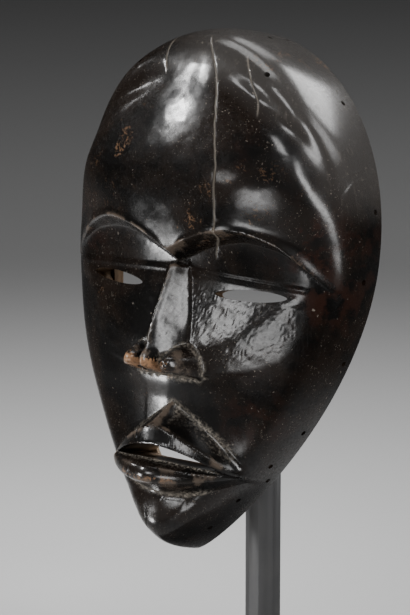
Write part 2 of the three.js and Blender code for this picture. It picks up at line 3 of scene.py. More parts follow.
import bpy
import numpy as np
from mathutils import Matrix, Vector


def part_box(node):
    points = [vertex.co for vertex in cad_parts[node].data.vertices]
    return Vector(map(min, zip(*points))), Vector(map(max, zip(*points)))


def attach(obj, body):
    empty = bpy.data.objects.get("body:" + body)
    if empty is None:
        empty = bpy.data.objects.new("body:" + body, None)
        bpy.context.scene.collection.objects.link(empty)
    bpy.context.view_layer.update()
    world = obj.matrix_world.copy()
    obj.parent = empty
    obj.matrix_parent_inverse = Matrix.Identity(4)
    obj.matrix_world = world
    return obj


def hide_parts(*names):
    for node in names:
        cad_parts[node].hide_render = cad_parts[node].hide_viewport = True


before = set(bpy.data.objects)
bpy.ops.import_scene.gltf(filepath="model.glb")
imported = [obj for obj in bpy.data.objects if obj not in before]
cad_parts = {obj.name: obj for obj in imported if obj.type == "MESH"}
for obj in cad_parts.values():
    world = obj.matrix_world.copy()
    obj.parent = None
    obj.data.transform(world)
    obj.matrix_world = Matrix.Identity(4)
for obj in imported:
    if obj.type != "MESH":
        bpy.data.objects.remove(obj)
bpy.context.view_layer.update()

# The mask is carved in its own frame, in millimetres: x to the viewer's right, z up from the widest
# level, y = 0 at the flat back rim and y negative towards the viewer. It is then leaned back and lifted.
MM = 0.001
LEAN = math.radians(14)
MASK_LEVEL = 220.0
MASK_FORWARD = -20.0

# Outline and depths of the carving
HALF_WIDTH = 78.0
CROWN_RISE = 104.0
CHIN_DROP = 140.0
WIDEST_LEVEL = 16.0
CROWN_ROUNDING = 2.1
CROWN_WAIST = 1.1
JAW_ROUNDING = 1.8
JAW_WAIST = 1.72
CHIN_BLUNTNESS = 4.0
RIM_THICKNESS = 13.0
FOREHEAD = [[-5, 50], [12, 57], [28, 62.5], [52, 67], [78, 66], [98, 61], [110, 56], [118, 52]]
LOWER_FACE = [[-124, 33], [-120, 37], [-110, 43], [-99, 46], [-85, 44], [-56, 42.5],
              [-45, 44.5], [-35, 45.5], [10, 44]]
EDGE = [[-124, 31], [-120, 34], [-114, 36], [-106, 33.5], [-98, 30], [-88, 27.5], [-76, 25],
        [-60, 22.5], [-30, 20.5], [-10, 19.5], [5, 20], [20, 21.5], [40, 26.5], [60, 33], [80, 41],
        [100, 50], [120, 53]]
HOLLOW = [[-117, 16], [-104, 27], [-90, 34], [-60, 34], [-30, 36.5], [5, 37], [24, 44], [48, 54],
          [76, 54], [98, 46], [113, 34]]

# Brows, eyes and cheeks
BROW_ARCH = [[0, 9.4], [8, 13], [22, 18.9], [36, 21.6], [50, 19.4], [60, 13.8], [70, 5]]
BROW_ROLL = 2.0
FURROW = [[0, 95], [20, 91], [32, 85.5], [42, 80], [50, 74.5], [57, 68], [62.5, 60], [67, 50], [71, 37]]
FURROW_DEPTH = 3.0
FURROW_WIDTH = 5.0
CHEEK_DEPTH = 44.8
CHEEK_CURVE = 0.00317
CHEEK_EDGE = [[0, -41], [15, -40], [35, -36], [50, -30], [58, -20], [66, 0], [70, 12]]
LID_RIDGE = 0.7
EYE_INNER = 20.3
EYE_OUTER = 54.0
EYE_OPENING = 5.4

# Nose
NOSE_KEEL = [[-41, 58], [-38, 61.5], [-34, 63.5], [-28, 62.8], [6, 52.5], [14, 50]]
NOSE_HALF_WIDTH = [[-41, 14.5], [-34, 14], [-25, 12], [-15, 10.2], [-5, 8.3], [6, 6.2], [14, 5]]
NOSE_TIP_DEPTH = 66.0
NOSE_TIP_LEVEL = -37.0
NOSE_BASE = -43.5
WING_DEPTH = 62.5
WING_OFFSET = 10.2
NOSTRIL_RADIUS = 2.3

# Mouth
MOUTH_CENTRE = 2.5
MOUTH_HALF_WIDTH = 33.0
MOUTH_GAP_HALF_WIDTH = 27.0
MOUTH_SINK = 6.0
MOUTH_SILL = 0.32
MOUTH_TOP = -75.0
MOUTH_TOP_FALL = 9.0
UPPER_LIP_PEAK = -55.4
UPPER_LIP_RIDGE = -66.4
LOWER_LIP_TOP = -85.2
LOWER_LIP_BASE = -92.4
LOWER_LIP_CURVE = 6.6
UPPER_LIP_DEPTH = 53.3
LOWER_LIP_DEPTH = 55.0
MOUTH_CORNER_DEPTH = 33.0

# Drilled holes: [level, depth from the rim] down the side, and [x, y, z] in the crown
RIM_HOLES = [
    [91, 10], [43.5, 5], [11, 10], [-27, 5], [-61.4, 6], [-79, 12], [-86, 5.5], [-97, 14], [-112, 14],
]
CROWN_HOLES = [[14.6, -20, 114], [14.6, -6, 114], [34.5, -47, 95.6]]
RIM_HOLE_RADIUS = 1.3

# Drying cracks: the course of the middle as [level, x] pairs, width, depth, and whether dust fills it
CRACKS = [
    ([[12, 19.5], [18, 20.5], [22.5, 24.8], [31, 25.4], [53, 24.4], [66, 20.6], [93, 13.4], [113, 2.1]],
     0.28, 0.45, "dusty"),
    ([[93, -15.1], [104, -18.1], [112, -19]], 0.25, 0.35, "dusty"),
    ([[78, 36.4], [92, 31], [106, 23.5]], 0.22, 0.3, "dusty"),
    ([[-75, -6.2], [-70, -6.6], [-64, -6.2]], 0.3, 0.6, "dark"),
    ([[-97, -7.5], [-90, -7.0], [-86, -7.4]], 0.3, 0.6, "dark"),
    ([[-121, -7], [-112, -5.5], [-104, -6.5]], 0.3, 0.6, "dark"),
]

# Where handling has worn through the dark patina: x, z, radius and strength
WORN_SPOTS = [
    (-10.5, -39, 4.6, 1.7), (1, -39.5, 4.2, 1.5), (10, -38.5, 4, 0.75), (-20, 82, 6, 0.42),
    (-28, 62, 9, 0.42), (50, 36, 13, 0.28), (34, 36, 16, 0.22), (11, 27, 10, 0.3), (-40, 48, 22, 0.22),
    (30, 45, 30, 0.14), (-13, -54, 5, 0.5), (34, 107, 9, 0.4), (-45, -10, 9, 0.3),
]
SHINY_SPOTS = [
    (6, 79, 15, 1.0), (-20, 90, 9, 0.9), (52, 62, 24, 1.0), (66, 30, 22, 0.7), (0, -25, 26, 1.0),
    (0, -42, 18, 1.0), (0, -88, 22, 1.0), (20, -70, 20, 0.8), (-2, -112, 14, 0.5),
    (45, 28, 16, 0.6), (-45, 28, 14, 0.5),
]
RED_SPOTS = [(63, 25, 15, 1.0), (68, 0, 14, 0.8), (-60, 20, 14, 0.6), (40, -58, 16, 0.5), (30, 62, 12, 0.3)]

# Painted pool of light: pale patches on the inner wall beside the mouth, where back light falls into the
# hollow; x, z, radius and strength
BACKLIT_INSIDE_SPOTS = [(-36, -80, 20, 0.9), (-20, -81, 9, 0.9)]

FACE_GRID = 660
HOLLOW_GRID = 260
MASK_TRIANGLES = 186000

# Camera: where the middle of the mask's rim plane falls in the picture, and how large a millimetre is
PICTURE_WIDTH = 410
PICTURE_HEIGHT = 615
CAMERA_AZIMUTH = 35.0
CAMERA_ELEVATION = 13.0
CAMERA_DISTANCE = 1.5
PIXELS_PER_MM = 2.13
MASK_PIXEL = (232, 287)
SENSOR_MM = 36.0


def mix(a, b, t):
    return a + (b - a) * t


def ease(start, end, t):
    """Smooth step: 0 before start, 1 after end, 3s^2 - 2s^3 between."""
    s = np.clip((t - start) / (end - start), 0, 1)
    return s * s * (3 - 2 * s)


def bump(t, width):
    """Bell curve exp(-(t / width)^2)."""
    return np.exp(-((t / width) ** 2))


def lower(a, b, rounding):
    """The smaller of two arrays, rounded where they cross."""
    k = np.clip(0.5 + 0.5 * (b - a) / rounding, 0, 1)
    return b + (a - b) * k - rounding * k * (1 - k)


def upper(a, b, rounding):
    """The larger of two arrays, rounded where they cross."""
    return -lower(-a, -b, rounding)


def through(knots):
    """A smooth curve through [position, value] pairs that never overshoots them."""
    place, value = np.array(knots, float).T
    rise = np.diff(value) / np.diff(place)
    both = rise[1:] * rise[:-1]
    inner = np.where(both > 0, 2 * both / np.where(both > 0, rise[1:] + rise[:-1], 1), 0)
    slope = np.concatenate([rise[:1], inner, rise[-1:]])

    def curve(t):
        t = np.clip(t, place[0], place[-1])
        i = np.clip(np.searchsorted(place, t, side="right") - 1, 0, len(place) - 2)
        run = place[i + 1] - place[i]
        s = (t - place[i]) / run
        start = (1 + 2 * s) * (1 - s) ** 2 * value[i] + s * (1 - s) ** 2 * run * slope[i]
        return start + s * s * (3 - 2 * s) * value[i + 1] + s * s * (s - 1) * run * slope[i + 1]

    return curve


forehead_line = through(FOREHEAD)
lower_line = through(LOWER_FACE)
edge_line = through(EDGE)
brow_arch = through(BROW_ARCH)
cheek_edge = through(CHEEK_EDGE)
nose_keel = through(NOSE_KEEL)
nose_half_width = through(NOSE_HALF_WIDTH)
hollow_line = through(HOLLOW)
furrow_line = through(FURROW)
crack_lines = [
    {"course": through(course), "start": course[0][0], "end": course[-1][0],
     "width": width, "depth": depth, "kind": kind}
    for course, width, depth, kind in CRACKS
]


def lumps(x, z, size, seed):
    """Smooth random unevenness in -1..1: a seeded lattice of the given size, eased between its points."""
    lattice = np.random.default_rng(seed).uniform(-1, 1, (64, 64))
    a, b = x / size + 31.3, z / size + 29.7
    i, j = np.floor(a).astype(int), np.floor(b).astype(int)
    s, t = ease(0, 1, a - i), ease(0, 1, b - j)
    low = mix(lattice[i % 64, j % 64], lattice[(i + 1) % 64, j % 64], s)
    high = mix(lattice[i % 64, (j + 1) % 64], lattice[(i + 1) % 64, (j + 1) % 64], s)
    return mix(low, high, t)


def outline(angle, inset):
    """Outline point in a direction: x = w cos^p, z = h sin^q of the angle, blunted at the chin."""
    c, s = np.abs(np.cos(angle)), np.abs(np.sin(angle))
    top = np.sin(angle) >= 0
    across = (HALF_WIDTH - inset) * c ** np.where(top, CROWN_WAIST, JAW_WAIST)
    blunt = np.where(top, 0, CHIN_BLUNTNESS * np.sqrt(c) * s ** 10)
    crown = (CROWN_RISE - inset) * s ** (2 / CROWN_ROUNDING)
    chin = -(CHIN_DROP - inset) * s ** (2 / JAW_ROUNDING)
    return (across + blunt) * np.sign(np.cos(angle)), np.where(top, crown, chin)


def how_far_out(x, z, inset):
    """How far a point lies from the middle (0) to the outline (1), found by halving the angle."""
    side, rise = np.abs(x), z - WIDEST_LEVEL
    low, high = np.zeros_like(x), np.full_like(x, math.pi / 2)
    for _ in range(34):
        angle = (low + high) / 2
        ox, oz = outline(np.where(rise >= 0, angle, -angle), inset)
        too_low = np.abs(rise) * np.maximum(ox, 1e-9) > side * np.maximum(np.abs(oz), 1e-9)
        low, high = np.where(too_low, angle, low), np.where(too_low, high, angle)
    ox, oz = outline(np.where(rise >= 0, high, -high), inset)
    return np.hypot(side, rise) / np.maximum(np.hypot(ox, oz), 1e-9)


def forehead_depth(x, z, out):
    """Dome from the edge depth to the middle line's, less a bell-shaped furrow along a drawn line."""
    edge = edge_line(z)
    dome = edge + (forehead_line(z) - edge) * (1 - out ** (2.3 + ease(20, 55, z)))
    side = np.abs(x)
    away = (z - furrow_line(side)) / np.hypot(1, furrow_line(side + 0.5) - furrow_line(side - 0.5))
    strength = ease(40, 58, z) * ease(8, 34, side) * mix(0.6, 1.0, ease(-30, 0, x))
    return dome - FURROW_DEPTH * bump(away, FURROW_WIDTH) * strength


def lower_depth(z, out):
    """Jaw and cheeks without features: edge depth to middle line along a power of the distance out."""
    edge = edge_line(z)
    return edge + (lower_line(z) - edge) * (1 - out ** (2.6 + 0.6 * ease(-70, -45, z)))


def cheek_depth(side, z):
    """Eye socket and cheek plane that meet at the eyelid, with a fine bell-shaped ridge along it."""
    lid = 5.5 - 0.03 * side
    below = (0.09 - 0.0018 * side) * np.maximum(lid - z, 0)
    above = 0.26 * np.maximum(z - lid, 0)
    return CHEEK_DEPTH - CHEEK_CURVE * side * side + below + above + LID_RIDGE * bump(z - lid, 1.3)


def nose_depth(x, z, face):
    """Wedge under a keel line, joined with paraboloids for the tip and wings, cut off flat below."""
    side = np.abs(x)
    across = np.clip(1 - side / nose_half_width(z), 0, 1)
    flank = face + (nose_keel(z) - face) * across ** mix(0.95, 1.7, ease(-14, -31, z))
    flank = flank - 0.8 * ease(0.2, 0, across)
    tip = NOSE_TIP_DEPTH - 1.5 * ((x / 1.5) ** 2 + ((z - NOSE_TIP_LEVEL) / 3.4) ** 2)
    wing = WING_DEPTH - 1.7 * (((side - WING_OFFSET) / 2.7) ** 2 + ((z - NOSE_TIP_LEVEL + 1) / 3.1) ** 2)
    nose = upper(flank, upper(tip, wing, 1.2), 1.2)
    nose = nose + 0.7 * bump(x, 1) * ease(-33, -25, z) * ease(10, 4, z)
    nose = lower(nose, face + 5 * np.maximum(z - NOSE_BASE, 0), 0.8)
    return nose - 2.5 * np.maximum(z - 7, 0)


def lip_lines(x):
    """Heights where the lips change across the mouth, and their depths, as powers of x / half width."""
    across = x - MOUTH_CENTRE
    side = np.abs(across)
    q = np.minimum(side / MOUTH_HALF_WIDTH, 1)
    return {
        "outer": UPPER_LIP_PEAK - 0.6 * side - 0.0025 * side * side + 0.06 * across,
        "inner": UPPER_LIP_RIDGE - 0.28 * side - 0.0085 * side * side + 0.03 * across,
        "top": MOUTH_TOP - MOUTH_TOP_FALL * q ** 1.7,
        "bottom": LOWER_LIP_TOP + 0.6 * q * q - 0.03 * across,
        "base": LOWER_LIP_BASE + LOWER_LIP_CURVE * q ** 2.2,
        "upper_depth": mix(MOUTH_CORNER_DEPTH, UPPER_LIP_DEPTH, 1 - q ** 1.9),
        "lower_depth": mix(MOUTH_CORNER_DEPTH, LOWER_LIP_DEPTH, 1 - q ** 1.7),
    }


def mouth_depth(x, z, face):
    """Hollowed slope and small knob above, a groove down to the sill, and a rounded lower lip."""
    lip, side = lip_lines(x), np.abs(x - MOUTH_CENTRE)
    s = np.clip((lip["outer"] - z) / np.maximum(lip["outer"] - lip["inner"], 0.5), 0, 1)
    plane = mix(face, lip["upper_depth"], s)
    ridge = plane + 1.2 - 1.4 * np.maximum(side - 1.2 - 1.4 * s * s, 0)
    slope = upper(plane - 8 * s * (1 - s), ridge, 0.6) + 0.6 * bump(z - lip["inner"] - 0.4, 0.9)
    flat = lip["upper_depth"] - 0.1 * (lip["inner"] - z)
    opening = np.maximum(lip["top"] - lip["bottom"], 0.5)
    g = np.clip((z - lip["bottom"]) / opening, 0, 1)
    sunk = MOUTH_SINK * np.minimum(opening / 10, 1) * np.minimum(g / MOUTH_SILL, (1 - g) / (1 - MOUTH_SILL))
    groove = mix(lip["lower_depth"], lip["upper_depth"], g) - sunk
    half = (lip["bottom"] - lip["base"]) / 2
    roll = lip["lower_depth"] + 1.2 - 0.085 * (z - lip["base"] - half) ** 2
    under = np.maximum(lip["lower_depth"] + 1.2 - 0.085 * half * half - 3.5 * (lip["base"] - z), face)
    steps = [z > lip["inner"], z > lip["top"], z > lip["bottom"], z > lip["base"]]
    return np.select(steps, [slope, flat, groove, roll], under)


def hand_work(x, z):
    """The carver's unevenness: slow and quick lumps, a leathery cheek, and the drying cracks."""
    side = np.abs(x)
    uneven = 0.34 * lumps(x, z, 17, 3) + 0.12 * lumps(x, z * 0.8, 6.5, 5) + 0.03 * lumps(x, z, 2.1, 7)
    uneven = uneven * mix(1.0, 0.45, ease(20, 5, z))
    cheek = ease(cheek_edge(side) - 1, cheek_edge(side) + 4, z) * ease(3, -3, z) * ease(64, 56, side)
    leather = 0.08 * lumps(x + 0.4 * z, z, 4.2, 11) + 0.09 * np.abs(lumps(x, z - 0.3 * x, 1.5, 13))
    cracks = np.zeros_like(x)
    for crack in crack_lines:
        cracks = cracks + crack["depth"] * crack_at(x, z, crack, 1)
    return uneven + cheek * leather - cracks


def crack_at(x, z, crack, widen):
    """A bell section that follows its course with a small wander, and fades at both ends."""
    wander = 0.35 * lumps(z * 0 + crack["start"], z, 4, 17)
    ends = ease(crack["start"] - 1, crack["start"] + 4, z) * ease(crack["end"] + 1, crack["end"] - 4, z)
    return bump(x - crack["course"](z) - wander, crack["width"] * widen) * ends


def face_depth(x, z, out):
    """How far the carved front stands forward of the rim plane."""
    side = np.abs(x)
    low = lower_depth(z, out)
    ledge = cheek_edge(side)
    on_cheek = ease(ledge - 3, ledge + 0.8, z) * ease(72, 58, side)
    face = mix(low, cheek_depth(side, z), on_cheek)
    arch = brow_arch(side)
    roll = BROW_ROLL * bump(z - arch - 1.6, 3.9) * ease(74, 60, side) * ease(2, 10, side)
    dome = forehead_depth(x, z, out) + roll
    depth = lower(dome, face + 2.6 * np.maximum(z - arch, 0), 1)
    nose = nose_depth(x, z, np.minimum(face, depth))
    depth = np.where(side < 24, upper(depth, nose, 0.8), depth)
    lip = lip_lines(x)
    across = np.abs(x - MOUTH_CENTRE)
    mouth = mix(low, mouth_depth(x, z, low), ease(MOUTH_HALF_WIDTH + 5, MOUTH_HALF_WIDTH, across))
    depth = np.where((z < lip["outer"]) & (z > lip["base"] - 8), mouth, depth)
    crispness = 40 - 14 * ease(0, 60, z)
    return depth * np.sqrt(np.maximum(1 - out ** crispness, 0))


def hollow_depth(z, out):
    """How far the hollow reaches forward of the rim plane."""
    fill = np.maximum(1 - out ** 3.4, 0) ** 0.62
    return (hollow_line(z) + 3) * fill - 3


def even_radius(wall):
    """Spaces radii so that rows lie evenly over the top and down the steep edge, by length along it."""
    r = np.linspace(0, 1, 4001)
    run = np.concatenate([[0], np.cumsum(np.hypot(np.diff(r), np.diff(wall(r))))])
    return lambda s: np.interp(s, run / run[-1], r)


def spread(count, radius, inset):
    """A square grid carried to a disc, then to the outline: x, z and how far out each point lies."""
    u, v = np.meshgrid(np.linspace(-1, 1, count), np.linspace(-1, 1, count))
    a, b = u * np.sqrt(1 - v * v / 2), v * np.sqrt(1 - u * u / 2)
    far = np.minimum(np.hypot(a, b), 1)
    out = np.where(far > 1 - 1e-9, 1, radius(far))
    x, z = outline(np.arctan2(b, a), inset)
    return out * x, WIDEST_LEVEL + out * z, out


def grid_faces(count):
    """Two triangles for each cell of a square grid, turned to face the viewer."""
    k = np.arange(count * count).reshape(count, count)
    a, b, c, d = k[:-1, :-1].ravel(), k[:-1, 1:].ravel(), k[1:, 1:].ravel(), k[1:, :-1].ravel()
    return np.concatenate([np.stack([a, b, c], 1), np.stack([a, c, d], 1)])


def border(count):
    """The grid's edge points in order round the square."""
    k = np.arange(count * count).reshape(count, count)
    return np.concatenate([k[0, :-1], k[:-1, -1], k[-1, :0:-1], k[:0:-1, 0]])


def closed_sheet(x, y, z, count, back):
    """A grid surface closed behind by a fan of triangles from one middle point."""
    points = np.stack([x.ravel(), y.ravel(), z.ravel()], 1)
    points = np.concatenate([points, [[0, back, WIDEST_LEVEL]]])
    ring = border(count)
    fan = np.stack([np.roll(ring, -1), ring, np.full(len(ring), count * count)], 1)
    return points, np.concatenate([grid_faces(count), fan])


def mesh_from(name, points, faces):
    """A mesh from an array of points and an array of triangles or quads."""
    mesh = bpy.data.meshes.new(name)
    sides = faces.shape[1]
    mesh.vertices.add(len(points))
    mesh.vertices.foreach_set("co", np.ascontiguousarray(points, np.float32).ravel())
    mesh.loops.add(faces.size)
    mesh.loops.foreach_set("vertex_index", np.ascontiguousarray(faces, np.int32).ravel())
    mesh.polygons.add(len(faces))
    mesh.polygons.foreach_set("loop_start", np.arange(0, faces.size, sides, dtype=np.int32))
    mesh.update(calc_edges=True)
    mesh.validate()
    return mesh


def thing(name, mesh, material=None):
    """A named object for a mesh, in the scene, with its material."""
    piece = bpy.data.objects.new(name, mesh)
    bpy.context.scene.collection.objects.link(piece)
    if material:
        mesh.materials.append(material)
    return piece


def joined(parts):
    """Several (points, faces) bodies as one, with the faces renumbered."""
    start = np.cumsum([0] + [len(points) for points, _ in parts[:-1]])
    points = np.concatenate([points for points, _ in parts])
    return points, np.concatenate([faces + s for (_, faces), s in zip(parts, start)])


def lofted(*rings):
    """A closed body through rings of equal length, closed at both ends by a fan from the middle."""
    n, count = len(rings[0]), len(rings)
    k = np.arange(n * count).reshape(count, n)
    j = np.roll(k, -1, 1)
    points = np.concatenate([*rings, [rings[0].mean(0)], [rings[-1].mean(0)]])
    a, b, c, d = k[:-1].ravel(), j[:-1].ravel(), j[1:].ravel(), k[1:].ravel()
    sides = np.concatenate([np.stack([a, b, c], 1), np.stack([a, c, d], 1)])
    front = np.stack([j[0], k[0], k[0] * 0 + n * count], 1)
    back = np.stack([k[-1], j[-1], k[-1] * 0 + n * count + 1], 1)
    return outward(points, np.concatenate([sides, front, back]))


def outward(points, faces):
    """Turns a closed body's triangles over where its signed volume is negative."""
    a, b, c = (points[faces[:, k]] for k in range(3))
    volume = np.einsum("ij,ij->i", a, np.cross(b, c)).sum()
    return points, faces if volume > 0 else faces[:, ::-1]


def rod(start, end, radius, sides=20):
    """A straight round bar between two points, closed at both ends."""
    start, end = np.array(start, float), np.array(end, float)
    along = (end - start) / np.linalg.norm(end - start)
    helper = np.array([0, 0, 1.0]) if abs(along[2]) < 0.9 else np.array([1.0, 0, 0])
    one = np.cross(along, helper)
    one /= np.linalg.norm(one)
    two = np.cross(along, one)
    t = np.linspace(0, 2 * math.pi, sides, endpoint=False)[:, None]
    ring = radius * (np.cos(t) * one + np.sin(t) * two)
    return lofted(start + ring, end + ring)


def eye_cutter(hand):
    """Almond x = a cos t, z = b sin t, even through the front and wider and lower behind it."""
    t = np.linspace(0, 2 * math.pi, 72, endpoint=False)
    middle, reach, half = (EYE_INNER + EYE_OUTER) / 2, (EYE_OUTER - EYE_INNER) / 2, EYE_OPENING / 2
    s = np.sin(t) * np.abs(np.sin(t)) ** 0.15
    side = middle + reach * np.cos(t)
    surface = CHEEK_DEPTH - CHEEK_CURVE * side * side

    def ring(back, widen, drop, lift):
        level = -2 + 1.1 * np.cos(t) + np.where(s > 0, lift, drop) * s
        return np.stack([hand * (side + reach * widen * np.cos(t)), back - surface, level], 1)

    return lofted(ring(-8, 0, half, half), ring(1, 0, half, half), ring(16, 0.12, half + 6, half + 1.5))


def mouth_cutter():
    """Lens from the sill up to the upper lip that pinches shut at both corners."""
    t = np.linspace(-1, 1, 61)
    x = MOUTH_CENTRE + MOUTH_GAP_HALF_WIDTH * t
    lip = lip_lines(x)
    sill, pinch = mix(lip["bottom"], lip["top"], MOUTH_SILL), 1 - t ** 6
    centre = (lip["top"] + sill) / 2

    def ring(y):
        top = np.stack([x, x * 0 + y, mix(centre + 0.3, lip["top"] - 0.2, pinch)], 1)
        bottom = np.stack([x, x * 0 + y, mix(centre - 0.3, sill, pinch)], 1)
        return np.concatenate([top, bottom[::-1]])

    return lofted(ring(-UPPER_LIP_DEPTH - 20), ring(-MOUTH_CORNER_DEPTH + 20))


def nostril_cutter(hand):
    """A small leaning cone that goes up into the nose from below."""
    t = np.linspace(0, 2 * math.pi, 24, endpoint=False)
    centre = np.array([hand * 8, -53.5, NOSE_BASE])
    mouth = np.stack([1.15 * NOSTRIL_RADIUS * np.cos(t), NOSTRIL_RADIUS * np.sin(t), t * 0 - 2], 1)
    top = np.stack([0.4 * np.cos(t), 0.4 * np.sin(t), t * 0 + 7], 1)
    return lofted(centre + mouth, centre + top)


def side_at(level):
    """Where the mask's side stands at a level, and which way it faces, by halving the angle."""
    low, high = -math.pi / 2, math.pi / 2
    for _ in range(40):
        angle = (low + high) / 2
        if outline(angle, 0)[1] > level - WIDEST_LEVEL:
            high = angle
        else:
            low = angle
    (xa, za), (xb, zb) = outline(angle - 0.01, 0), outline(angle + 0.01, 0)
    x, z = outline(angle, 0)
    facing = np.array([zb - za, 0, xa - xb])
    return float(x), float(z) + WIDEST_LEVEL, facing / np.linalg.norm(facing)


def drilled_holes():
    """Thin rods through the rim wall, square to the outline, and through the crown."""
    holes = []
    half = RIM_THICKNESS + 6
    for hand in (1, -1):
        for level, depth in RIM_HOLES:
            x, z, facing = side_at(level)
            at = np.array([hand * x, -depth, z])
            aim = facing * [hand, 0, 1]
            holes.append(rod(at - half * aim, at + half * aim, RIM_HOLE_RADIUS))
        for x, y, z in CROWN_HOLES:
            at = np.array([hand * x, y, z])
            aim = np.array([hand * 0.35, y / 60, 0.9])
            aim /= np.linalg.norm(aim)
            holes.append(rod(at - 17 * aim, at + 17 * aim, RIM_HOLE_RADIUS))
    return holes


def cut(piece, body):
    """Takes a closed body out of a piece, and leaves the result in the piece's mesh."""
    cutter = thing("cutter", mesh_from("cutter", *body))
    step = piece.modifiers.new("cut", "BOOLEAN")
    step.operation = "DIFFERENCE"
    step.solver = "MANIFOLD"
    step.object = cutter
    apply_steps(piece)
    bpy.data.objects.remove(cutter)


def apply_steps(piece):
    """Makes a piece's modifiers part of its mesh."""
    bpy.context.view_layer.update()
    shown = piece.evaluated_get(bpy.context.evaluated_depsgraph_get())
    finished = bpy.data.meshes.new_from_object(shown)
    piece.modifiers.clear()
    piece.data = finished


def softened_depth(x, z, out):
    """The carving with its edges handled round: the mean of four points, further apart beside the nose."""
    side = np.abs(x)
    foot = ease(4, 7, side) * ease(20, 16, side) * ease(-33, -28, z) * ease(8, 2, z)
    reach = (0.3 + 0.9 * foot) * ease(0.97, 0.9, out)
    around = [(reach, 0), (-reach, 0), (0, reach), (0, -reach)]
    return sum(face_depth(x + dx, z + dz, out) for dx, dz in around) / 4


def carve_mask():
    """The carved block less its hollow, eye slits, mouth, nostrils and drilled holes."""
    x, z, out = spread(FACE_GRID, even_radius(lambda r: 0.45 * np.sqrt(1 - r ** 34)), 0)
    fade = np.sqrt(np.maximum(1 - out ** 40, 0))
    depth = softened_depth(x, z, out) + hand_work(x, z) * fade
    y = np.where(out == 1, 0, -depth)
    mask = thing("carved_mask", mesh_from("carved_mask", *closed_sheet(x, y, z, FACE_GRID, 0)))
    x, z, out = spread(HOLLOW_GRID, even_radius(lambda r: 0.55 * (1 - r ** 3.4) ** 0.62), RIM_THICKNESS)
    y = np.where(out == 1, 3, -hollow_depth(z, out) - adze_marks(x, z) * (1 - out ** 8))
    cut(mask, closed_sheet(x, y, z, HOLLOW_GRID, 3))
    openings = [mouth_cutter()]
    openings += [eye_cutter(hand) for hand in (1, -1)]
    openings += [nostril_cutter(hand) for hand in (1, -1)]
    cut(mask, joined(openings + drilled_holes()))
    thin = mask.modifiers.new("thin", "DECIMATE")
    mask.data.calc_loop_triangles()
    thin.ratio = min(1, MASK_TRIANGLES / len(mask.data.loop_triangles))
    apply_steps(mask)
    return mask


def adze_marks(x, z):
    """Scooped tool cuts in the hollow: rows of shallow bowls, each a rounded saw tooth."""
    row = z / 9 + 0.4 * lumps(x, z, 22, 23)
    column = x / 7 + 0.5 * np.floor(row) + 0.5 * lumps(x, z, 14, 29)
    bowl = (1 - (2 * (row % 1) - 1) ** 2) * (1 - (2 * (column % 1) - 1) ** 2)
    return 0.55 * bowl * (1 + 0.4 * lumps(x, z, 11, 31))


def spots(x, z, places):
    """Soft round spots, each a bell curve of the distance from its middle."""
    total = np.zeros_like(x)
    for cx, cz, radius, strength in places:
        total = total + strength * bump(np.hypot(x - cx, z - cz), radius)
    return total


def carving_height(x, z):
    return softened_depth(x, z, np.minimum(how_far_out(x, z, 0), 1)) + hand_work(x, z)


def creases(x, z, reach):
    """How much lower a point lies than the mean of four points around it, in millimetres."""
    around = [(reach, 0), (-reach, 0), (0, reach), (0, -reach)]
    mean = sum(carving_height(x + dx, z + dz) for dx, dz in around) / 4
    return mean - carving_height(x, z)


